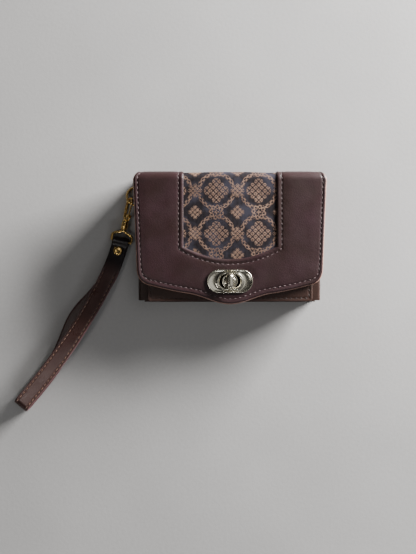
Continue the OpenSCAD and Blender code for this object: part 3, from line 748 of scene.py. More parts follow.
def cover_height(points):
    """Height of the cover leather's surface at flat points, and its two edge distances."""
    outside, inside = distance_to(OUTER, points), distance_to(INNER, points)
    x, v = points[:, 0], points[:, 1]
    nearest = np.minimum(outside, inside)
    height = 0.22 * smooth(2, 9, nearest)
    height -= 0.24 * dip(outside - edge_inset(v), 0.55)
    height -= 0.22 * dip(inside - WINDOW_INSET, 0.55)
    height += 0.20 * dip(inside - 1.3, 0.9)
    height += 0.12 * dip(outside - 1.4, 0.8)
    height += 0.10 * wobble(x, v, 33) + 0.04 * wobble(x, v, 13, 2)
    puckers = np.sin(2 * math.pi * (x * 0.9 + v * 1.1) / STITCH_PITCH)
    height += 0.035 * puckers * dip(nearest - 3, 1.6)
    gap = plate_gap(points)
    height = height * smooth(-0.5, 5, gap) - 0.12 * (1 - smooth(-1.5, 2.0, gap))
    return height, outside, inside


def cut_lock_hole(piece):
    """Cuts a stadium hole for the turn lock through a piece."""
    hole = stack(lambda inset: stadium(*LOCK_HOLE, 48) + (0, LOCK_Y), [(15, 0), (35, 0)])
    cutter = loft("hole_cutter", hole, AUBERGINE)
    cut = piece.modifiers.new("lock_hole", "BOOLEAN")
    cut.operation, cut.solver, cut.object = "DIFFERENCE", "EXACT", cutter
    bpy.context.view_layer.update()
    made = bpy.data.meshes.new_from_object(piece.evaluated_get(bpy.context.evaluated_depsgraph_get()))
    piece.modifiers.clear()
    piece.data = made
    bpy.data.objects.remove(cutter)


TOP_CREASE = {
    "bodies": ("spine", "flap"),
    "start": (0, SPINE_Y * MM, FOLD_Z * MM),
    "end": (0, FOLD_Y * MM, TOP_Z * MM),
}


def cover_leather():
    """The leather frame round the window, over the top fold and down the spine."""
    near = np.array([0.0, 0.3, 0.7, 1.1, 1.6, 2.1, 2.5, 2.8, 3.1, 3.4, 3.7, 4.0, 4.5, 5.2, 6.2, 7.5])
    loops, edge_wear_and_shading = [], []
    spans = np.linalg.norm(OUTER - INNER, axis=1)
    shares = []
    for span in spans:
        middle = np.linspace(7.5, span - 7.5, 14)[1:-1]
        far = span - near[::-1][:-1]
        shares.append(np.concatenate([near, middle, far]) / span)
    shares = np.array(shares)
    flat = INNER[:, None] + (OUTER - INNER)[:, None] * shares[..., None]
    height, outside, inside = cover_height(flat.reshape(-1, 2))
    height = height.reshape(shares.shape)
    outside, inside = outside.reshape(shares.shape), inside.reshape(shares.shape)
    height -= 0.22 * (1 - smooth(0.0, 1.1, outside - 0.55)) + 0.25 * (1 - smooth(0, 0.9, inside))
    rim = np.radians(np.linspace(75, -90, 9))
    for i, (a, b) in enumerate(zip(INNER, OUTER)):
        ahead = (b - a) / spans[i]
        top = cover_point(flat[i, :-1, 0], flat[i, :-1, 1], height[i, :-1])
        mid_h, half_h = -FLAP_T / 2 - 0.12, FLAP_T / 2 - 0.16
        edge = b + ahead * (0.62 * np.cos(rim) - 0.62)[:, None]
        rim_points = cover_point(edge[:, 0], edge[:, 1], mid_h + half_h * np.sin(rim))
        back = np.linspace(spans[i] - 1.4, 0.8, 9)
        under = a + ahead * back[:, None]
        floor = cover_point(under[:, 0], under[:, 1], -FLAP_T + 0.22)
        lip = a + ahead * np.array([0.1, -0.12, -0.15, -0.12])[:, None]
        lip_points = cover_point(lip[:, 0], lip[:, 1], np.array([-1.4, -1.0, -0.62, -0.4]))
        loops.append(np.concatenate([top, rim_points, floor, lip_points]))
        # the flap's edge and rim take the light edge colour, partly a painted highlight; the window's lip
        # takes a little of it
        top_edge_paint_and_highlight = 0.95 * dip(outside[i, :-1], 0.62) + 0.1 * dip(inside[i, :-1], 0.35)
        edge_wear_and_shading.append(np.concatenate([top_edge_paint_and_highlight, np.full(len(rim), 1.0), np.zeros(9), np.full(4, 0.1)]))
    piece = loft("cover_leather", loops, AUBERGINE, edge_wear_and_shading=edge_wear_and_shading)
    cut_lock_hole(piece)
    dress_fold(piece, "leather", TOP_CREASE, "flap_leather", "top_fold", "spine_panel")


def offset_path(path, distance):
    """A flat path moved sideways by a distance for each point."""
    ahead = unit(np.gradient(path, axis=0))
    sideways = np.column_stack([ahead[:, 1], -ahead[:, 0]])
    return path + sideways * np.broadcast_to(distance, len(path))[:, None]


def stitch_lofts(path, surface, pitch=STITCH_PITCH, length=2.15, radius=0.26, proud=0.12):
    """Stitches along a path of surface coordinates. surface(points, h) gives points in mm."""
    path = np.asarray(path, float)
    steps = path_steps(path)
    lofts = []
    count = int((steps[-1] - length) / pitch) + 1
    margin = (steps[-1] - (count - 1) * pitch - length) / 2
    shape = np.linspace(0, 1, 8)
    rise = np.sqrt(np.sin(np.pi * shape).clip(0))
    for i in range(count):
        lean = 0.12 * math.sin(12.9 * i)
        at = margin + i * pitch + shape * length
        flat = path_at(at, steps, path)
        flat[:, 0] += lean * (shape - 0.5)
        line = surface(flat, -0.26 + (proud + 0.16) * rise)
        lofts.append((tube_loops(line, radius * (0.45 + 0.55 * rise), 8), False))
    return lofts


def on_cover(flat, h):
    return cover_point(flat[:, 0], flat[:, 1], cover_height(flat)[0] + h)


def cover_stitches():
    """The rows of stitches inside the flap's edge and outside the window."""
    edge = mirrored(resample(OUTER_RIGHT, 240))
    window = mirrored(resample(INNER_RIGHT, 200))
    for name, path, inset in (
        ("edge_stitches", edge, edge_inset(edge[:, 1])),
        ("window_stitches", window, -WINDOW_INSET),
    ):
        lofts = stitch_lofts(offset_path(path, inset), on_cover)
        dress_fold(loft_many(name, lofts, EDGE_THREAD), "leather", TOP_CREASE)


# ---------------------------------------------------------------- cover: fabric and lining
FABRIC_EDGE = 1.1
FABRIC_COLUMNS, FABRIC_ROWS = 47, 78
FABRIC_H = FABRIC_HIGH[2] - TOP_Z
FABRIC_T = 0.4
SIM_SCALE = 0.01
SIM_STEPS = 24
PUFF_MOST, PUFF_QUICK = 0.75, 0.45


def fabric_layout():
    """Flat (x, v) of the fabric's grid, which runs a little way under the leather's lip."""
    x = np.linspace(-WINDOW_HALF - FABRIC_EDGE, WINDOW_HALF + FABRIC_EDGE, FABRIC_COLUMNS)
    low = window_low(np.clip(x, -WINDOW_HALF, WINDOW_HALF)) - FABRIC_EDGE
    t = np.linspace(0, 1, FABRIC_ROWS)[:, None]
    return np.stack(np.broadcast_arrays(x[None, :], COVER_END + (low[None, :] - COVER_END) * t), -1)


def fabric_puff(layout):
    """Height of the fabric, from a cloth held at its edges and pressed out by its padding."""
    flat = layout.reshape(-1, 2)
    mesh = bpy.data.meshes.new("fabric_cloth")
    faces = [
        (r * FABRIC_COLUMNS + c, r * FABRIC_COLUMNS + c + 1,
         (r + 1) * FABRIC_COLUMNS + c + 1, (r + 1) * FABRIC_COLUMNS + c)
        for r in range(FABRIC_ROWS - 1)
        for c in range(FABRIC_COLUMNS - 1)
    ]
    start = np.column_stack([flat * SIM_SCALE, 0.0004 * wobble(flat[:, 0], flat[:, 1], 17)])
    mesh.from_pydata(start.tolist(), [], faces)
    cloth_object = bpy.data.objects.new("fabric_cloth", mesh)
    bpy.context.scene.collection.objects.link(cloth_object)
    held = cloth_object.vertex_groups.new(name="held")
    inside = distance_to(INNER, flat)
    edge = (flat[:, 1] > COVER_END - 1) | (inside < 0.9)
    held.add([int(i) for i in np.flatnonzero(edge)], 1.0, "REPLACE")
    cloth = cloth_object.modifiers.new("cloth", "CLOTH")
    settings = cloth.settings
    settings.quality = 8
    settings.mass = 0.25
    settings.tension_stiffness = 40
    settings.compression_stiffness = 40
    settings.bending_stiffness = 2.5
    settings.shrink_min = -0.004
    settings.vertex_group_mass = "held"
    settings.use_pressure = True
    settings.uniform_pressure_force = 1.2
    settings.effector_weights.gravity = 0
    cloth.point_cache.frame_start, cloth.point_cache.frame_end = 1, SIM_STEPS
    for step in range(1, SIM_STEPS + 1):
        bpy.context.scene.frame_set(step)
    made = cloth_object.evaluated_get(bpy.context.evaluated_depsgraph_get()).to_mesh()
    rise = np.array([v.co.z for v in made.vertices]) / SIM_SCALE
    bpy.data.objects.remove(cloth_object)
    bpy.context.scene.frame_set(1)
    rise = np.abs(rise) * min(1.0, PUFF_MOST / max(np.abs(rise).max(), 1e-6))
    return rise.reshape(layout.shape[:2])


def sheet_loops(layout, top, under):
    """Closed loops round a thin sheet laid out as rows of flat points."""
    upper = cover_point(layout[..., 0], layout[..., 1], top)
    lower = cover_point(layout[..., 0], layout[..., 1], under)
    return np.concatenate([upper, lower[:, ::-1]], 1)


def flat_of(layout):
    """The flat place of each point that sheet_loops() makes, for the weave."""
    flat = np.concatenate([layout, layout[:, ::-1]], 1).reshape(-1, 2)
    return np.column_stack([flat, np.zeros(len(flat))])


def cover_fabric():
    """The figured cloth in the window, puffed a little by its padding."""
    layout = fabric_layout()
    rise = FABRIC_H + fabric_puff(layout)
    piece = loft("cover_fabric", sheet_loops(layout, rise, rise - FABRIC_T), BROCADE, flat=flat_of(layout))
    dress_fold(piece, "brocade", TOP_CREASE, "flap_fabric", "spine_fabric")


def cover_lining():
    """The cloth on the inside of the flap and spine, and the board between it and the leather."""
    columns, rows = 61, 84
    c = np.linspace(-1, 1, columns)
    inset = 1.3
    bottom = mirrored(resample(outline_bottom(), 60))[::-1]
    past_corner = bottom[bottom[:, 1] < CORNER_V]
    low = resample(past_corner, columns)
    low = low + unit(np.array([0, -10.0]) - low) * inset
    t = np.linspace(0, 1, rows)[:, None]
    v = COVER_END + (low[None, :, 1] - COVER_END) * t
    x = c[None, :] * (cover_half(v) - inset) * (1 - t**6) + low[None, :, 0] * t**6
    layout = np.stack([x, v], -1)
    ripple = 0.08 * wobble(x, v, 19, 4)
    under = -FLAP_T + 0.05 + ripple.clip(-0.05, 0.08)
    loops = sheet_loops(layout, under + 0.35, under)
    lining = loft("cover_lining", loops, LINING, flat=flat_of(layout))
    board = loft("cover_board", sheet_loops(layout * (0.97, 1), -1.0 + 0 * x, -2.0 + 0 * x), BOARD)
    for piece, slot, nodes in (
        (lining, "lining", ("flap_lining", "spine_lining")),
        (board, "board", ("flap_board",)),
    ):
        cut_lock_hole(piece)
        dress_fold(piece, slot, TOP_CREASE, *nodes)


# ---------------------------------------------------------------- lower cover
BOTTOM_Y = BACK_LOW[1]
BACK_FOLD_LOW, BACK_FOLD_HIGH = box_mm("back_fold")
BACK_FOLD_Y = BACK_FOLD_LOW[1]
BACK_R = BACK_FOLD_HIGH[1] - BACK_FOLD_Y
LEATHER_T = BACK_HIGH[2]
BACK_CORNER = 5.0
LOWER_END = BACK_FOLD_Y + BACK_R * math.pi / 2 + SEAM_Z - 0.12 - BACK_R


def back_point(x, q, h):
    """The lower cover, folded from its flat layout. q equals Y on the back; h points inwards."""
    x, q, h = np.broadcast_arrays(np.asarray(x, float), q, h)
    turn = np.clip((q - BACK_FOLD_Y) / BACK_R, 0, math.pi / 2)
    flat_rest = np.minimum(q - BACK_FOLD_Y, 0)
    spine_rest = np.maximum(q - BACK_FOLD_Y - BACK_R * math.pi / 2, 0)
    y = BACK_FOLD_Y + (BACK_R - h) * np.sin(turn) + flat_rest
    z = BACK_R - (BACK_R - h) * np.cos(turn) + spine_rest
    return np.stack([x, y, z], -1)


def back_half(q):
    """Half width of the back, with its rounded lower corners."""
    drop = np.clip(BACK_CORNER - (q - BOTTOM_Y), 0, BACK_CORNER)
    return BODY_HALF - BACK_CORNER + np.sqrt(BACK_CORNER**2 - drop**2)


BACK_CREASE = {
    "bodies": ("body", "spine"),
    "start": (0, BACK_FOLD_Y * MM, 0),
    "end": (0, SPINE_Y * MM, BACK_R * MM),
}


def lower_cover():
    """The back's leather, over the back fold to the spine's seam, and its stitches."""
    q = BOTTOM_Y + (LOWER_END - BOTTOM_Y) * smooth(0, 1, np.linspace(0.06, 1, 90))
    q = np.concatenate([[BOTTOM_Y + 0.05], q[q > BOTTOM_Y + 0.3]])
    near = np.array([0.0, 0.5, 1.2, 2.0, 2.4, 2.8, 3.2, 3.6, 4.4, 6, 9])
    rim = np.radians(np.linspace(-90, 90, 7))
    loops, edge_wear_and_shading = [], []
    for at in q:
        half = float(back_half(at))
        inner_half = half - 0.6
        middle = np.linspace(-inner_half + 14, inner_half - 14, 24)
        x = np.concatenate([-inner_half + near, middle, inner_half - near[::-1]])
        end = min(at - BOTTOM_Y, LOWER_END - at)
        side = inner_half - np.abs(x)
        sunk = 0.3 * dip(side - 2.4, 0.5) + 0.28 * dip(end - 3.0, 0.5)
        sunk += 0.35 * (1 - smooth(0, 0.9, end)) + 0.2 * (1 - smooth(0, 0.8, side))
        outer = back_point(x, at, sunk)
        round_x = inner_half + 0.6 * np.cos(rim)
        round_h = LEATHER_T / 2 + (LEATHER_T / 2 - 0.2) * np.sin(rim)
        right = back_point(round_x, at, round_h)
        left = back_point(-round_x[::-1], at, round_h[::-1])
        inner_x = np.linspace(inner_half - 0.8, -inner_half + 0.8, 12)
        inner = back_point(inner_x, at, LEATHER_T - 0.02)
        loops.append(np.concatenate([outer, right, inner, left]))
        # the sides, rims and ends take the dark edge colour, a painted shade
        edge_wear_and_shading.append(np.concatenate([dip(side, 0.6) * 0.9, np.ones(7), np.zeros(12), np.ones(7)]))
    edge_wear_and_shading[0][:] = edge_wear_and_shading[-1][:] = 1.0
    piece = loft("back_leather", loops, BROWN, edge_wear_and_shading=edge_wear_and_shading)
    dress_fold(piece, "leather", BACK_CREASE, "back_panel", "back_fold")

    def on_back(flat, h):
        return back_point(flat[:, 0], flat[:, 1], 0.26 - np.asarray(h))

    inset = 3.0
    down = np.linspace(LOWER_END - 1.5, BOTTOM_Y + BACK_CORNER, 60)
    turn = np.radians(np.linspace(0, -90, 10))[1:]
    radius = BACK_CORNER - inset
    corner = np.column_stack([
        BODY_HALF - BACK_CORNER + radius * np.cos(turn),
        BOTTOM_Y + BACK_CORNER + radius * np.sin(turn),
    ])
    straight = np.column_stack([np.full(60, BODY_HALF - inset), down])
    half = np.concatenate([straight, corner, [(0, BOTTOM_Y + inset)]])
    lofts = stitch_lofts(mirrored(half), on_back, proud=0.02)
    dress_fold(loft_many("back_stitches", lofts, DARK_THREAD), "leather", BACK_CREASE)


# ---------------------------------------------------------------- studio
FLOOR_HALF = 1.4
AIM = (-0.02, -0.02, 0.01)
# name, place, aim, size and power of each light: a low sun from the right, a thin sheen from the
# front, a small light for the hook and ring, and a soft one above
LIGHTS = (
    ("key", (0.74, 0.55, 0.228), AIM, (0.5, 0.22), 61, (1.0, 0.985, 0.96)),
    ("front", (0.06, -0.8, 0.45), AIM, (0.35, 0.05), 0.9, (0.96, 0.98, 1.0)),
    ("spark", (-0.32, -0.22, 0.62), (-0.08, 0.0, 0.01), (0.15, 0.07), 0.42, (1.0, 0.98, 0.94)),
    ("overhead", (0.22, 0.08, 0.75), AIM, (0.5, 0.36), 0.34, (1.0, 0.99, 0.97)),
)
WORLD_STRENGTH = 0.2


def make_floor():
    """A pale paper floor under the object."""
    corners = [(x * FLOOR_HALF, y * FLOOR_HALF, 0) for x, y in ((-1, -1), (1, -1), (1, 1), (-1, 1))]
    mesh = bpy.data.meshes.new("floor")
    mesh.from_pydata(corners, [], [(0, 1, 2, 3)])
    s = Shader("floor_paper", Roughness=0.75, Specular_IOR_Level=0.08)
    fibre = s.noise(2.2, 4)
    cloud = s.noise(90, 2)
    mix = s.math("ADD", s.math("MULTIPLY", fibre, 0.35), s.math("MULTIPLY", cloud, 0.65))
    colour = s.blend(s.span(mix, 0.35, 0.65), rgb(178, 177, 177), rgb(187, 186, 186))
    mesh.materials.append(s.finish(colour, None, s.bump(fibre, 0.05)))
    floor = bpy.data.objects.new("floor", mesh)
    bpy.context.scene.collection.objects.link(floor)


def area_light(name, place_at, aim, size, power, colour):
    data = bpy.data.lights.new(name, "AREA")
    data.shape = "RECTANGLE"
    data.size, data.size_y = size
    data.energy = power
    data.color = colour
    light = bpy.data.objects.new(name, data)
    light.location = place_at
    light.rotation_euler = (Vector(aim) - Vector(place_at)).to_track_quat("-Z", "Y").to_euler()
    bpy.context.scene.collection.objects.link(light)


def make_world():
    """Soft room light, brighter on the right, which the metal parts reflect."""
    world = bpy.data.worlds.new("studio")
    bpy.context.scene.world = world
    world.use_nodes = True
    tree = world.node_tree
    where = tree.nodes.new("ShaderNodeTexCoord")
    split = tree.nodes.new("ShaderNodeSeparateXYZ")
    tree.links.new(where.outputs["Generated"], split.inputs[0])
    ramp = tree.nodes.new("ShaderNodeValToRGB")
    ramp.color_ramp.elements[0].color = (0.035, 0.033, 0.03, 1)
    ramp.color_ramp.elements[1].color = (0.75, 0.75, 0.76, 1)
    middle = ramp.color_ramp.elements.new(0.5)
    middle.color = (0.22, 0.22, 0.215, 1)
    reach = tree.nodes.new("ShaderNodeMapRange")
    reach.inputs[1].default_value, reach.inputs[2].default_value = -0.8, 0.9
    tree.links.new(split.outputs[0], reach.inputs[0])
    tree.links.new(reach.outputs[0], ramp.inputs[0])
    tree.links.new(ramp.outputs[0], tree.nodes["Background"].inputs["Color"])
    tree.nodes["Background"].inputs["Strength"].default_value = WORLD_STRENGTH


# ---------------------------------------------------------------- body panels
FRONT_LOW, FRONT_HIGH = box_mm("front_panel")
FRONT_INSET = 2.6


def eased(count):
    """Numbers from 0 to 1, closer together at both ends."""
    return (1 - np.cos(np.linspace(0, math.pi, count))) / 2


def panel_piece(name, low, high, material, corners, relief, notch=None, rim=0.3, rows=64, columns=44):
    """A soft flat panel inside a box, with rounded rims, rounded corners and a shaped face.

    corners are the corner radii at low and high Y. relief(x, y) raises the upper face and
    notch(x) cuts into the upper edge."""
    y0, y1 = low[1], high[1]
    middle, half_w = (low[0] + high[0]) / 2, (high[0] - low[0]) / 2
    thick = high[2] - low[2]
    rim = min(rim, thick / 2)
    side = np.radians(np.linspace(80, -80, 5))
    span = -np.cos(np.linspace(0, math.pi, columns))
    loops, edge_wear_and_shading = [], []
    for share in eased(rows):
        y = y0 + 0.02 + (y1 - y0 - 0.04) * share
        half = half_w
        for radius, gap in zip(corners, (y - y0, y1 - y)):
            drop = max(radius - gap, 0)
            half -= radius - math.sqrt(max(radius**2 - drop**2, 0))
        inner = half - rim
        fall = max(rim - min(y - y0, y1 - y), 0)
        lost = rim - math.sqrt(max(rim**2 - fall**2, 0))
        x = span * inner
        at_y = y - (notch(x) * share if notch else 0)
        top = high[2] - lost + relief(x, at_y)
        bottom = low[2] + lost
        near = np.minimum(inner - np.abs(x), min(y - y0, y1 - y))
        half_t = (thick - 2 * lost) / 2
        upper = np.column_stack([x, np.broadcast_to(at_y, x.shape), top])
        lower = upper[::-1].copy()
        lower[:, 2] = bottom
        right_x = inner + rim * np.cos(side)
        right_z = low[2] + thick / 2 + 0.8 * half_t * np.sin(side)
        right = np.column_stack([right_x, np.full(5, y), right_z])
        left = right[::-1] * (-1, 1, 1)
        loop = np.concatenate([upper, right, lower, left])
        loops.append(loop + (middle, 0, 0))
        # the edges take the material's edge colour: a painted shade on the front, edge paint on the
        # pockets
        rim_wear_and_shade = dip(near, 0.5)
        edge_wear_and_shading.append(np.concatenate([rim_wear_and_shade, np.ones(5), rim_wear_and_shade[::-1], np.ones(5)]))
    loops = np.array(loops)
    return loft(name, loops, material, edge_wear_and_shading=edge_wear_and_shading, flat=loops.reshape(-1, 3) * (1, 1, 0))


def front_relief(x, y):
    """Height of the front panel's surface over its flat box."""
    side = FRONT_HIGH[0] - np.abs(x)
    bottom = y - FRONT_LOW[1]
    top = FRONT_HIGH[1] - y
    near = np.minimum(np.minimum(side, bottom), top)
    uneven = 0.05 * wobble(x, y, 24, 1) * smooth(1, 6, near)
    return 0.10 * smooth(2, 8, near) - 0.25 * dip(near - FRONT_INSET, 0.5) + uneven


def front_panel():
    """The front's leather and its stitches."""
    piece = panel_piece(
        "front_leather", FRONT_LOW, FRONT_HIGH, BROWN, (3.0, 1.5), front_relief,
        rim=0.8, rows=90, columns=80,
    )
    dress(piece, "leather", "body", "front_panel")
    inset = FRONT_INSET
    half = FRONT_HIGH[0] - inset
    turn = np.radians(np.linspace(0, -90, 6))
    path = [(half, FRONT_HIGH[1] - inset), (half, FRONT_LOW[1] + inset + 1)]
    path += [(half - 1 + math.cos(a), FRONT_LOW[1] + inset + 1 + math.sin(a)) for a in turn]
    path = np.array(path + [(0.0, FRONT_LOW[1] + inset)])

    def on_front(flat, h):
        z = FRONT_HIGH[2] + front_relief(flat[:, 0], flat[:, 1]) + h
        return np.column_stack([flat, z])

    row = mirrored(resample(path, 120))
    hem = np.array([(-half, FRONT_HIGH[1] - inset), (half, FRONT_HIGH[1] - inset)])
    lofts = stitch_lofts(row, on_front) + stitch_lofts(resample(hem, 80), on_front)
    dress(loft_many("front_stitches", lofts, DARK_THREAD), "leather", "body")


def rounded_path(path, rounds=3):
    """Corner-cutting, which turns a zigzag into soft folds."""
    path = np.asarray(path, float)
    for _ in range(rounds):
        a, b = path[:-1], path[1:]
        cut = np.empty((2 * len(a), path.shape[1]))
        cut[0::2], cut[1::2] = 0.78 * a + 0.22 * b, 0.22 * a + 0.78 * b
        path = np.concatenate([path[:1], cut, path[-1:]])
    return path


def strip_section(path, thickness):
    """Closed outline of a strip that follows an open flat path."""
    ahead = unit(np.gradient(path, axis=0))
    out = np.column_stack([ahead[:, 1], -ahead[:, 0]]) * thickness / 2
    return np.concatenate([path + out, (path - out)[::-1]])


def gussets():
    """The two sides, each a strip folded in two pleats."""
    low, high = box_mm("right_gusset")
    pouch_low, pouch_high = box_mm("coin_pouch_rear")[0][2], box_mm("coin_pouch_front")[1][2]
    outer_x, inner_x = high[0] - 0.4, high[0] - 7.8
    zigzag = [
        (outer_x - 6, low[2] + 0.4), (outer_x, low[2] + 0.4),
        (inner_x, (low[2] + pouch_low) / 2), (outer_x, pouch_low - 0.4),
        (outer_x, pouch_high + 0.4), (inner_x, (pouch_high + high[2]) / 2),
        (outer_x, high[2] - 0.4), (inner_x - 0.6, high[2] - 0.4),
    ]
    folds = rounded_path(zigzag)
    for side, name in ((1, "right_gusset"), (-1, "left_gusset")):
        loops, edge_wear_and_shading = [], []
        for share in eased(54):
            y = low[1] + (high[1] - low[1]) * share
            sway = 0.22 * wobble(y + 0 * folds[:, 0], folds[:, 1] * 4, 31, side) * smooth(0, 0.2, share)
            pulled = folds + np.column_stack([sway * smooth(0, 3, outer_x + 0.3 - folds[:, 0]), 0 * sway])
            section = strip_section(pulled, 0.8)
            loops.append(np.column_stack([side * section[:, 0], np.full(len(section), y), section[:, 1]]))
            # the outer fold crests and the top end take the dark edge colour, a painted shade
            crest = dip(outer_x - np.concatenate([pulled, pulled[::-1]])[:, 0], 0.9)
            edge_wear_and_shading.append(0.45 * crest + 0.5 * (1 - smooth(0, 0.02, 1 - share)))
        dress(loft(name + "_leather", loops, BROWN, edge_wear_and_shading=edge_wear_and_shading), "leather", "body", name)


def bottom_panel():
    """The underside of the sides, a folded strip with three shallow pleats."""
    low, high = box_mm("bottom_panel")
    z = np.linspace(low[2], high[2], 40)
    share = (z - low[2]) / (high[2] - low[2])
    loops, edge_wear_and_shading = [], []
    for s in eased(60):
        x = low[0] + (high[0] - low[0]) * s
        pleat = 0.45 * np.abs(np.sin(3 * math.pi * share)) ** 0.7
        y = low[1] + 0.5 - pleat + 0.05 * wobble(x + 0 * z, z * 3, 17)
        inner = np.full(12, high[1] - 0.05)
        loop_y = np.concatenate([y, inner])
        loop_z = np.concatenate([z, np.linspace(high[2], low[2], 12)])
        loops.append(np.column_stack([np.full(52, x), loop_y, loop_z]))
        # the pleats' outer crests take the dark edge colour, a painted shade
        edge_wear_and_shading.append(np.concatenate([0.35 * pleat / 0.45, np.zeros(12)]))
    dress(loft("bottom_leather", loops, BROWN, edge_wear_and_shading=edge_wear_and_shading), "leather", "body", "bottom_panel")


def side_tab():
    """A leather strip folded round the ring's bar."""
    low, high = box_mm("side_tab")
    ring = pos_mm("ring_swing")
    around = np.radians(np.linspace(55, 305, 22))
    bend = ring[[0, 2]] + 1.32 * np.column_stack([np.cos(around), np.sin(around)])
    path = np.concatenate([[(high[0], ring[2] + 0.5)], [(ring[0] + 3, ring[2] + 0.5)], bend])
    path = np.concatenate([path, [(ring[0] + 3, ring[2] - 0.5)], [(high[0], ring[2] - 0.5)]])
    section = strip_section(resample(rounded_path(path, 1), 60), 0.75)
    loops, edge_wear_and_shading = [], []
    for s in eased(18):
        y = low[1] + (high[1] - low[1]) * s
        loops.append(np.column_stack([section[:, 0], np.full(len(section), y), section[:, 1]]))
        # the tab's ends take the dark edge colour, a painted shade
        edge_wear_and_shading.append(np.full(len(section), 1 - smooth(0, 0.06, min(s, 1 - s))))
    dress(loft("ring_tab_leather", loops, BROWN, edge_wear_and_shading=edge_wear_and_shading), "leather", "body", "side_tab")


# ---------------------------------------------------------------- inside the wallet
NOTCH_R, NOTCH_UP = 15, 12
HEM = 2.0


def quilted(x, y, low, high):
    """Height of a lining's surface, with a seam round it."""
    near = np.minimum(np.minimum(x - low[0], high[0] - x), np.minimum(y - low[1], high[1] - y))
    return -0.14 * dip(near - 2.2, 0.5) + 0.04 * wobble(x, y, 18, 3) * smooth(0, 4, near)


def thumb_notch(x):
    """Depth of the notch in a card pocket's edge, part of a circle."""
    return np.maximum(np.sqrt(np.maximum(NOTCH_R**2 - x * x, 0)) - NOTCH_UP, 0)


def inner_panels():
    """The linings, the coin pouch's walls and base, and the card pockets."""
    for node, material, corners in (
        ("back_lining", LINING, (4, 1)),
        ("front_lining", LINING, (1, 1)),
        ("coin_pouch_rear", PLAIN_CLOTH, (1, 0.3)),
        ("coin_pouch_front", PLAIN_CLOTH, (1, 0.3)),
    ):
        low, high = box_mm(node)
        surface = lambda x, y: quilted(x, y, low, high)
        piece = panel_piece(node + "_cloth", low, high, material, corners, surface)
        dress(piece, "lining", "body", node)
    for step in (1, 2, 3):
        node = f"card_pocket_{step}"
        low, high = box_mm(node)

        def hem(x, y):
            return -0.12 * dip(high[1] - thumb_notch(x) - y - HEM, 0.4) * (y > low[1] + 4)

        def on_pocket(flat, h):
            return np.column_stack([flat, high[2] - 0.1 + 0 * flat[:, 0] + h])

        piece = panel_piece(
            node + "_leather", low, high, POCKET_LEATHER, (1, 0.6), hem, thumb_notch,
            rows=80, columns=60,
        )
        dress(piece, "leather", "body", node)
        x = np.linspace(low[0] + 2, high[0] - 2, 120)
        row = np.column_stack([x, high[1] - thumb_notch(x) - HEM])
        lofts = stitch_lofts(row, on_pocket, 3.0, 2.0, 0.22, 0.1)
        dress(loft_many(node + "_stitches", lofts, DARK_THREAD), "leather", "body")
    low, high = box_mm("coin_pouch_base")
    size, middle = high - low, (low + high) / 2
    loops = block(size[0], size[2], 1.5, rounded_levels(low[1], high[1], 0.35), 6)[..., [0, 2, 1]]
    loops = loops + (middle[0], 0, middle[2])
    flat = loops.reshape(-1, 3)[:, [0, 2, 1]] * (1, 1, 0)
    base = loft("coin_pouch_base_cloth", loops, PLAIN_CLOTH, flat=flat)
    dress(base, "lining", "body", "coin_pouch_base")


TOOTH_PITCH, TOOTH_COUNT = 2.0, 39
# (height, inset) of a tooth, from its root in the tape to its tip
TOOTH = [(-1.65, 0.12), (-1.5, 0.0), (-0.9, 0.0), (-0.5, 0.1), (0.05, 0.02), (0.32, 0.16), (0.4, 0.34)]
ZIP_END_X = 44.1


def zip_parts():
    """The teeth, the tapes and the leather ends. Returns the chain's Y and Z."""
    teeth_low, teeth_high = box_mm("zip_teeth")
    middle_z = (teeth_low[2] + teeth_high[2]) / 2
    middle_y = (teeth_low[1] + teeth_high[1]) / 2
    lofts = []
    for i in range(TOOTH_COUNT):
        for row in (-1, 1):
            x = (i - (TOOTH_COUNT - 1) / 2 + row * 0.25) * TOOTH_PITCH
            loops = block(1.15, 2.3, 0.35, TOOTH) * (1, 1, -row)
            lofts.append((loops + (x, middle_y, middle_z), False))
    dress(loft_many("zip_tooth_rows", lofts, GOLD), "gold", "body", "zip_teeth")
    low, high = box_mm("zip_tapes")
    lofts = []
    for row in (-1, 1):
        loops = []
        for x in np.linspace(low[0], high[0], 90):
            edge = 1.95 if row > 0 else -1.95
            far = (high[2] - middle_z) * row
            lift = 0.06 * math.sin(x * 0.7) + 0.03 * math.sin(x * 2.3)
            top = high[1] + lift - 0.03
            section = [
                (top - 0.15, edge - 0.15 * row), (top, edge), (top, far), (low[1], far), (low[1], edge),
            ]
            loops.append([(x, y, middle_z + z) for y, z in section])
        lofts.append((np.array(loops), False))
    dress(loft_many("zip_tape_pair", lofts, TAPE), "zip_tape", "body", "zip_tapes")
    low, high = box_mm("zip_end_tabs")
    levels = rounded_levels(low[1], high[1], 0.35)
    tab = block(high[0] - ZIP_END_X, high[2] - low[2], 1.2, levels, 6)[..., [0, 2, 1]]
    lofts = [(tab + (side * (ZIP_END_X + high[0]) / 2, 0, middle_z), False) for side in (-1, 1)]
    tabs = loft_many("zip_end_leathers", lofts, POCKET_LEATHER)
    dress(tabs, "leather", "body", "zip_end_tabs")
    return middle_y, middle_z


def blunted(wave, power):
    """A sine or cosine with flattened crests, for a blunt oval outline."""
    return np.sign(wave) * np.abs(wave) ** power


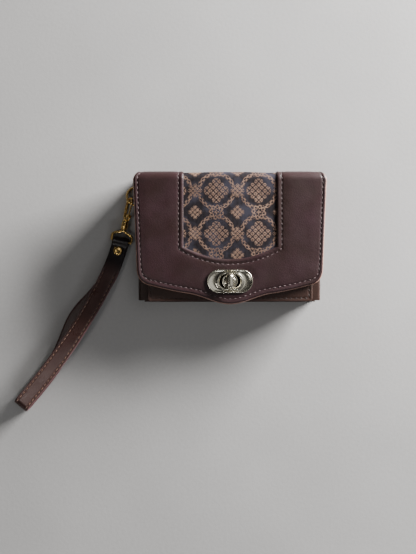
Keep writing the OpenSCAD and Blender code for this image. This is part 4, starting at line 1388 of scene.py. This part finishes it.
def slider_and_pull(chain_y, chain_z):
    """The zip's slider, with its bow, and the pull that hangs on it."""
    low, high = box_mm("zip_slider")
    middle_x = (low[0] + high[0]) / 2
    lofts = []

    def face(inset):
        loop = round_rect(8 - 2 * inset, 5.6 - 2 * inset, 1.6, 6)
        waist = 1 - 0.18 * np.exp(-(((loop[:, 0] + 1.8) / 1.8) ** 2))
        return loop * np.column_stack([np.ones(len(loop)), waist])

    for side in (-1, 1):
        levels = rounded_levels(1.42, 2.2, 0.3)
        loops = stack(face, levels)[..., [0, 2, 1]] * (1, side, 1)
        lofts.append((loops + (middle_x, chain_y, chain_z), False))
    post = block(2.2, 0.5, 0.2, [(-1.5, 0), (1.5, 0)])[..., [0, 2, 1]]
    lofts.append((post + (middle_x + 2.5, chain_y, chain_z), False))
    rail = block(7.2, 0.45, 0.2, [(0.75, 0), (1.45, 0)])[..., [0, 2, 1]]
    for side in (-1, 1):
        for row in (-1, 1):
            lofts.append((rail * (1, side, 1) + (middle_x, chain_y, chain_z + row * 2.5), False))
    arch = [(-2.3, 2.0), (-2.3, 3.6), (-1.7, 4.15), (0, 4.2), (1.7, 4.15), (2.3, 3.6), (2.3, 2.0)]
    arch = rounded_path(arch, 2)
    path = np.column_stack([middle_x + arch[:, 0], chain_y + arch[:, 1], np.full(len(arch), chain_z)])
    lofts.append((tube_loops(path, 0.42, 10), False))
    dress(loft_many("zip_slider_body", lofts, GOLD), "gold", "slider", "zip_slider")
    pivot = pos_mm("pull_swing")
    along = np.radians(np.linspace(0, 360, 60, endpoint=False))
    cos, sin = np.cos(along), np.sin(along)
    outline = np.column_stack([-8.3 + 4.9 * blunted(cos, 0.75), 2.15 * blunted(sin, 0.8)])
    hole = np.column_stack([-10.6 + 0.95 * cos, 0.95 * sin])

    def ring(points, y):
        return np.column_stack([points[:, 0], np.full(len(points), y), points[:, 1]])

    middle_of = (-8.3, 0)
    inner = (outline - middle_of) * 0.9 + middle_of
    levels = [
        ring(hole, -0.42), ring(inner, -0.5), ring(outline, -0.3),
        ring(outline, 0.3), ring(inner, 0.5), ring(hole, 0.42),
    ]
    upper_yoke = [(-3.9, 1.3), (-1.2, 1.35), (0.35, 1.3)]
    yoke = rounded_path([*upper_yoke, (0.35, 0.0), *((x, -z) for x, z in upper_yoke[::-1])], 2)
    yoke_path = ring(yoke, 0.0) + pivot
    lofts = [(np.array(levels) + pivot, True), (tube_loops(yoke_path, 0.4, 10, up=(0, 1, 0)), False)]
    dress(loft_many("zip_pull_tab", lofts, GOLD), "gold", "pull", "zip_pull")


# ---------------------------------------------------------------- turn lock
def two_prongs(x, foot_x, w, levels, foot_levels, z=0.0):
    """The bent prongs that hold a lock part, left and right of its middle."""
    lofts = []
    for side in (-1, 1):
        lofts.append((block(0.5, 4.0, 0.2, levels) + (side * x, LOCK_Y, z), False))
        lofts.append((block(w, 4.0, 0.2, foot_levels) + (side * foot_x, LOCK_Y, z), False))
    return lofts


def lock_parts():
    """The dished plate on the flap, the round base in its slot with a near-black ring round it, a painted
    shade of the slot, and the knob.
    """
    at = (0, LOCK_Y, 0)
    plate_w, plate_h = PLATE_HIGH[0] * 2, PLATE_HIGH[1] - PLATE_LOW[1]
    levels = [
        (0.0, 0.0, 0.0), (0.45, 0.0, 0.0), (0.78, 0.12, 0.12), (0.98, 0.5, 0.5), (1.0, 1.0, 1.0),
        (0.88, 1.6, 1.55), (0.70, 2.2, 1.95), (0.52, 3.2, 2.3), (0.36, 5.2, 2.6), (0.24, 7.6, 2.8),
        (0.20, 9.8, 3.0), (0.26, 11.4, 3.3), (0.48, 12.6, 3.7), (0.74, 13.4, 4.2), (0.88, 14.0, 4.7),
        (0.86, 14.9, 5.3), (0.66, 15.9, 6.0), (0.3, 16.7, 6.6), (0.0, 17.0, 6.8),
    ]
    loops = []
    for z, less_w, less_h in levels:
        flat = stadium(plate_w - less_w, plate_h - less_h, 112)
        loops.append(np.column_stack([flat, np.full(len(flat), TOP_Z + z)]) + at)
    prongs = two_prongs(11, 10.3, 1.7, [(-1.9, 0), (0.1, 0)], [(-2.0, 0.05), (-1.72, 0.05)], TOP_Z)
    plate = loft_many("lock_plate_dished", [(np.array(loops), True)] + prongs, NICKEL)
    dress(plate, "nickel", "flap", "lock_plate")

    base_low, base_high = box_mm("lock_base")
    top = FRONT_HIGH[2]
    profile = [
        (top - 0.8, 7.55), (top + 0.02, 7.6), (top + 0.16, 7.4), (top + 0.18, 6.0), (top + 0.3, 5.55),
        (top + 2.15, 5.45), (top + 2.36, 5.25), (top + 2.42, 4.8), (top + 2.2, 4.2), (top + 2.3, 3.75),
        (base_high[2] - 0.2, 3.7), (base_high[2], 3.5), (base_high[2], 2.1), (top - 0.8, 2.1),
    ]
    legs = two_prongs(
        6.2, 4.7, 2.9, [(base_low[2], 0), (top - 0.7, 0)], [(base_low[2], 0), (base_low[2] + 0.4, 0)]
    )
    base = loft_many("lock_base_turned", [(lathe(profile, 72, at), True)] + legs, NICKEL)
    dress(base, "nickel", "body", "lock_base")

    # a near-black ring round the base, a painted shade of the slot's cavity
    shade_profile = [(top - 0.3, 5.6), (top - 0.3, 9.2), (top + 0.16, 9.1), (top + 0.3, 8.7), (top + 0.3, 5.6)]
    dress(loft("lock_slot_shade_ring", lathe(shade_profile, 72, at), SLOT_SHADE, closed=True), "lining", "body")

    low, high = box_mm("lock_knob")
    knob_l, knob_w = high[1] - low[1], high[0] - low[0]
    foot_z = PLATE_HIGH[2] + 0.2
    levels = [
        (0.0, 0.7), (0.08, 0.3), (0.3, 0.06), (0.7, 0.0), (1.6, 0.05), (2.3, 0.35), (2.9, 0.9),
        (3.4, 1.6), (3.8, 2.5), (4.02, 3.5), (4.1, 4.6),
    ]
    loops = []
    for z, less in levels:
        flat = stadium(knob_l - less, knob_w - less, 80)[:, ::-1] * (-1, 1)
        loops.append(np.column_stack([flat, np.full(len(flat), foot_z + z)]) + at)
    stem = np.column_stack([np.zeros(6), np.full(6, LOCK_Y), np.linspace(low[2], foot_z + 0.6, 6)])
    lofts = [(np.array(loops), False), (tube_loops(stem, 2.0, 40, up=(0, 1, 0)), False)]
    dress(loft_many("lock_knob_cast", lofts, NICKEL), "nickel", "knob", "lock_knob")


# ---------------------------------------------------------------- ring, hook and swivel
HOOK_AT = pos_mm("hook_swing")
EYE_AT = pos_mm("strap_swing")
HOOK_X = unit(joint("swivel_spin")["axis"])
HOOK_Z = unit(joint("gate_open")["axis"])
HOOK_Y = np.cross(HOOK_Z, HOOK_X)
ACROSS = np.cross((0, 0, 1), HOOK_X)
GATE_X = float((pos_mm("gate_open") - HOOK_AT) @ HOOK_X)
HOOK_MID = float((pos_mm("gate_open") - HOOK_AT) @ HOOK_Y)
EYE_X = float(np.linalg.norm(EYE_AT - HOOK_AT))
HOOK_PLAY = 1.65
EYE_WIRE = 0.95


def in_hook(points):
    """Points of the hook's own frame, whose X runs from the ring to the strap."""
    return place(points, HOOK_AT, HOOK_X, HOOK_Y, HOOK_Z)


def in_swivel(points):
    """Points of the swivel's frame, which lies level."""
    return place(points, HOOK_AT, HOOK_X, ACROSS, np.array([0, 0, 1.0]))


def turned(profile, count=40):
    """Loops of a piece turned about local X, from (x, radius) pairs."""
    around = np.linspace(0, 2 * math.pi, count, endpoint=False)
    return np.array([
        np.column_stack([np.full(count, x), r * np.cos(around), r * np.sin(around)]) for x, r in profile
    ])


def d_ring():
    """The ring's wire, an arc and a straight bar in the tab."""
    ring = pos_mm("ring_swing")
    radius, wire = 6.2, 0.82
    arc = np.radians(np.linspace(97, 263, 40))
    curve = np.column_stack([radius * np.cos(arc), radius * np.sin(arc)])
    bar = [(0.0, -radius + 0.35), (0.0, 0.0), (0.0, radius - 0.35)]
    path = resample(np.concatenate([curve, bar, curve[:1]]), 97)[:-1]
    path = np.column_stack([path, np.zeros(len(path))]) + ring
    piece = loft("ring_wire", tube_loops(path, wire, 18, closed=True), GOLD, closed=True)
    dress(piece, "gold", "ring", "d_ring")


def snap_hook():
    """The hook with its collar and side arms, the gate's pin and the gate."""
    crown = HOOK_MID - 0.75 - 0.85 - HOOK_PLAY
    turn = np.radians(np.linspace(88, 270, 26))
    arch = np.column_stack([crown + HOOK_MID * np.cos(turn), HOOK_MID * np.sin(turn)])
    back = [
        (4, -HOOK_MID), (7.6, -HOOK_MID + 0.05), (9.4, -HOOK_MID + 0.5),
        (11.2, -1.9), (13.0, -0.6), (13.8, -0.2),
    ]
    loop = rounded_path(np.concatenate([arch, back]), 1)
    path = np.column_stack([loop, np.zeros(len(loop))])
    share = np.linspace(0, 1, len(path))
    radius = 0.66 + 0.08 * smooth(0.0, 0.1, share) + 0.34 * smooth(0.68, 0.9, share)
    lofts = [(in_hook(tube_loops(path, radius, 16)), False)]
    for side in (-1, 1):
        arm = rounded_path([
            (GATE_X - 0.1, HOOK_MID, side * 1.25), (GATE_X + 1.2, HOOK_MID - 0.5, side * 1.2),
            (GATE_X + 2.6, 1.4, side * 0.9), (13.8, 0.4, side * 0.6),
        ], 2)
        lofts.append((in_hook(tube_loops(arm, 0.6, 12)), False))
        cheek = turned([(-0.33, 0.9), (-0.3, 1.2), (0.3, 1.2), (0.33, 0.9)], 28)[..., [1, 2, 0]]
        lofts.append((in_hook(cheek + (GATE_X, HOOK_MID, side * 1.25)), False))
    collar = [
        (12.4, 0.9), (12.6, 1.5), (13.0, 1.9), (13.8, 2.15), (14.4, 2.2), (14.7, 1.95), (15.0, 2.2),
        (18.2, 2.25), (18.5, 2.0), (18.8, 2.2), (19.2, 2.2), (19.4, 2.0), (19.4, 1.1), (18.9, 1.08),
    ]
    lofts.append((in_hook(turned(collar)), False))
    dress(loft_many("hook_cast", lofts, GOLD), "gold", "hook", "snap_hook")

    pin = turned([(-1.8, 0.35), (-1.72, 0.5), (1.72, 0.5), (1.8, 0.35)], 20)[..., [1, 2, 0]]
    piece = loft("gate_pin_turned", in_hook(pin + (GATE_X, HOOK_MID, 0)), GOLD)
    dress(piece, "gold", "hook", "gate_pin")

    tip = crown + 0.95
    along = np.linspace(GATE_X, tip, 14)
    bar = np.column_stack([along, np.full(14, HOOK_MID), np.zeros(14)])
    width = np.interp(np.linspace(0, 1, 14), [0, 0.15, 0.85, 1.0], [0.72, 0.66, 0.6, 0.42])
    knuckle = turned([(-0.7, 0.7), (-0.62, 1.0), (0.62, 1.0), (0.7, 0.7)], 24)[..., [1, 2, 0]]
    knuckle = in_hook(knuckle + (GATE_X, HOOK_MID, 0))
    lofts = [(in_hook(tube_loops(bar, width, 14)), False), (knuckle, False)]
    dress(loft_many("gate_bar", lofts, GOLD), "gold", "gate", "hook_gate")


def swivel_eye():
    """The swivel's neck and the wire eye that the strap goes through."""
    wire, half = EYE_WIRE, 7.05
    shoulder = EYE_X - 3.8
    corner = [
        (20.6, 0.9), (21.2, 1.5), (shoulder - 0.9, half - 1.05), (shoulder, half - 0.1),
        (shoulder + 1.1, half), (EYE_X - 0.9, half), (EYE_X - 0.1, half - 0.25), (EYE_X, half - 0.9),
    ]
    side = rounded_path(corner, 1)
    path = np.concatenate([side, (side * (1, -1))[::-1]])
    path = resample(np.concatenate([path, path[:1]]), 121)[:-1]
    path = np.column_stack([path, np.zeros(len(path))])
    lofts = [(in_swivel(tube_loops(path, wire, 16, closed=True)), True)]
    neck = [
        (15.3, 0.8), (15.4, 1.45), (16.3, 1.45), (16.4, 1.0), (19.5, 1.0),
        (19.6, 1.7), (19.8, 2.0), (20.9, 2.0), (21.2, 1.7), (21.3, 0.9),
    ]
    lofts.append((in_swivel(turned(neck)), False))
    dress(loft_many("swivel_eye_wire", lofts, GOLD), "gold", "swivel", "swivel_eye")


# ---------------------------------------------------------------- wrist strap
# The two leaves follow the same curve as the CAD strap; t runs from the eye to the far bend.
STRAP_ROUTE = np.array([(EYE_AT[0], EYE_AT[1]), (-85.7, -36), (-110, -74), (-144, -114)])
STRAP_W, STRAP_T = 11.6, 1.8
EYE_Z = EYE_AT[2]
WRAP_R = EYE_WIRE + 0.3 + STRAP_T / 2
LOW_Z, HIGH_Z, BEND_Z = STRAP_T / 2 + 0.1, 10.4, 9.2
STRAP_SPREAD, STRAP_TILT = 6.5, 16
RIVET_T = 0.066


def strap_plan(t):
    """The strap's curve seen from above."""
    t = np.asarray(t, float)[..., None]
    a, b, c, d = STRAP_ROUTE
    return (1 - t) ** 3 * a + 3 * t * (1 - t) ** 2 * b + 3 * t**2 * (1 - t) * c + t**3 * d


def strap_frame(t, leaf):
    """Centre, across and outward directions of one leaf at t. leaf is -1 below and 1 above."""
    centre = strap_plan(t)
    ahead = unit(strap_plan(t + 0.01) - strap_plan(t - 0.01))
    start = smooth(0, 0.038, t)
    swell = np.sin(math.pi * smooth(0.1, 0.95, t)) ** 2
    if leaf < 0:
        z = (EYE_Z - WRAP_R) * (1 - start) + (EYE_Z - STRAP_T / 2 - 0.05) * (start - smooth(0.1, 0.3, t))
        z = z + LOW_Z * smooth(0.1, 0.3, t)
        tilt, side = 0 * t, -STRAP_SPREAD * swell
    else:
        z = (EYE_Z + WRAP_R) * (1 - start) + (EYE_Z + STRAP_T / 2 + 0.05) * (start - smooth(0.1, 0.4, t))
        z = z + HIGH_Z * (smooth(0.1, 0.4, t) - smooth(0.6, 1, t)) + BEND_Z * smooth(0.6, 1, t)
        tilt, side = np.radians(STRAP_TILT) * swell, 0 * t
    across = np.stack([-ahead[:, 1] * np.cos(tilt), ahead[:, 0] * np.cos(tilt), np.sin(tilt)], -1)
    outward = leaf * np.stack([ahead[:, 1] * np.sin(tilt), -ahead[:, 0] * np.sin(tilt), np.cos(tilt)], -1)
    place_at = np.column_stack([centre + np.column_stack([-ahead[:, 1], ahead[:, 0]]) * side[:, None], z])
    return place_at, across, outward


def bend_frame(t, z, radius, turns, sense):
    """Frames round a half turn of the band at one end."""
    centre, nearby = strap_plan(np.array([t, t + 0.01])), strap_plan(np.array([t - 0.01]))
    ahead = unit(centre[1] - nearby[0])
    turns = np.radians(turns)
    forward = np.column_stack([np.outer(np.cos(turns) * sense, ahead), np.sin(turns)])
    place_at = np.concatenate([centre[0], [z]]) + radius * forward
    across = np.broadcast_to((-ahead[1], ahead[0], 0), forward.shape)
    return place_at, across, forward


def strap_frames():
    """The whole closed band: centre, across, outward and t at each section."""
    t = np.concatenate([np.linspace(0, 0.12, 22)[:-1], np.linspace(0.12, 1, 90)])
    middle, radius = (LOW_Z + BEND_Z) / 2, (BEND_Z - LOW_Z) / 2
    parts = [
        strap_frame(t, -1),
        bend_frame(1, middle, radius, np.linspace(-90, 90, 21)[1:-1], 1),
        tuple(part[::-1] for part in strap_frame(t, 1)),
        bend_frame(0, EYE_Z, WRAP_R, np.linspace(90, -90, 13)[1:-1], -1),
    ]
    marks = [t, np.full(19, 1.0), t[::-1], np.zeros(11)]
    frames = [np.concatenate([p[k] for p in parts]) for k in range(3)]
    return frames + [np.concatenate(marks)]


STITCH_IN = 1.75
STITCH_FROM = 0.20


def strap_section(stitched):
    """Crowned section of the strap: (across, outward) with turned edges and stitch grooves."""
    half = STRAP_W / 2
    right = np.array([1, 2, 3.0, 3.6, 3.85, 4.05, 4.25, 4.45, 4.9, 5.35])
    across = np.concatenate([-right[::-1], [0], right])
    groove = dip(np.abs(across) - (half - STITCH_IN), 0.3)
    crown = STRAP_T / 2 - 0.16 * (across / half) ** 4 - 0.2 * stitched * groove
    crown = crown + 0.05 * dip(np.abs(across) - 5.0, 0.4)
    rim = np.radians(np.linspace(60, -60, 5))
    edge = np.column_stack([5.42 + 0.36 * np.cos(rim), 0.74 * np.sin(rim)])
    inner = np.linspace(5.2, -5.2, 9)
    under = np.column_stack([inner, np.full(9, -STRAP_T / 2 + 0.03)])
    section = np.concatenate([np.column_stack([across, crown]), edge, under, edge[::-1] * (-1, 1)])
    marks = np.concatenate([dip(half - np.abs(across), 0.5), np.ones(5), np.zeros(9), np.ones(5)])
    return section, marks


def wrist_strap():
    """The closed band, darker near the eye, partly a darker skin and partly a painted shadow of the
    wallet, and its two rows of stitches.
    """
    centre, across, outward, mark = strap_frames()
    loops, edge_wear_and_shading, dye = [], [], []
    for i in range(len(centre)):
        stitched = float(smooth(STITCH_FROM - 0.02, STITCH_FROM, mark[i]))
        section, edge = strap_section(stitched)
        loops.append(centre[i] + section[:, :1] * across[i] + section[:, 1:] * outward[i])
        edge_wear_and_shading.append(edge * (0.35 + 0.65 * stitched))
        # near the eye the colour goes dark: a darker skin and a painted shadow
        dye.append(np.full(len(section), 1 - float(smooth(0.12, 0.24, mark[i]))))
    strap = loft(
        "wrist_strap", loops, STRAP_LEATHER, closed=True, edge_wear_and_shading=edge_wear_and_shading, dye=np.array(dye).ravel()
    )
    dress(strap, "leather", "strap", "strap_loop")

    order = np.flatnonzero(mark >= STITCH_FROM)
    steps = path_steps(centre[order])

    def on_strap(flat, h):
        at, side, out = [path_at(flat[:, 1], steps, v[order]) for v in (centre, across, outward)]
        height = STRAP_T / 2 - 0.16 * (flat[:, 0] / (STRAP_W / 2)) ** 4 - 0.06 + np.asarray(h)
        return at + flat[:, :1] * side + height[:, None] * out

    lofts = []
    for side in (-1, 1):
        x = side * (STRAP_W / 2 - STITCH_IN)
        row = np.column_stack([np.full(400, x), np.linspace(1, steps[-1] - 1, 400)])
        lofts += stitch_lofts(row, on_strap, 3.4, 2.1, 0.26, 0.14)
    dress(loft_many("strap_stitches", lofts, STRAP_THREAD), "leather", "strap")


def rivet():
    """The rivet's domed cap and back, which hold the strap's end."""
    at = np.append(strap_plan(np.array([RIVET_T]))[0], 0)
    top = EYE_Z + STRAP_T + 0.1
    cap = [
        (EYE_Z - STRAP_T + 0.1, 1.2), (top - 0.15, 1.22), (top - 0.12, 3.1), (top + 0.1, 3.2),
        (top + 0.35, 3.12), (top + 0.62, 2.8), (top + 0.82, 2.35), (top + 0.88, 1.95),
        (top + 0.80, 1.6), (top + 0.66, 1.25), (top + 0.60, 0.8), (top + 0.59, 0.3),
    ]
    low, high = box_mm("rivet_back")
    back = [(low[2], 1.6), (low[2] + 0.06, 2.4), (low[2] + 0.3, 2.75), (high[2], 2.8)]
    for node, profile in (("rivet_cap", cap), ("rivet_back", back)):
        dress(loft(node + "_domed", lathe(profile, 48, at), GOLD), "gold", "strap", node)


# ---------------------------------------------------------------- build
cover_leather()
cover_stitches()
cover_fabric()
cover_lining()
lower_cover()
front_panel()
gussets()
bottom_panel()
side_tab()
inner_panels()
slider_and_pull(*zip_parts())
lock_parts()
d_ring()
snap_hook()
swivel_eye()
wrist_strap()
rivet()

# small CAD nodes that stay as they are and only get a material
CAD_FINISH = {
    "zip_stops": GOLD,
    "lock_base_washer": NICKEL,
    "lock_plate_washer": NICKEL,
    "lock_circlip": NICKEL,
    "lock_spring": NICKEL,
    "gate_spring": NICKEL,
}
for node_name, finish in CAD_FINISH.items():
    frame["nodes"][node_name].data.materials.clear()
    frame["nodes"][node_name].data.materials.append(finish)

make_floor()
make_world()
for light_row in LIGHTS:
    area_light(*light_row)
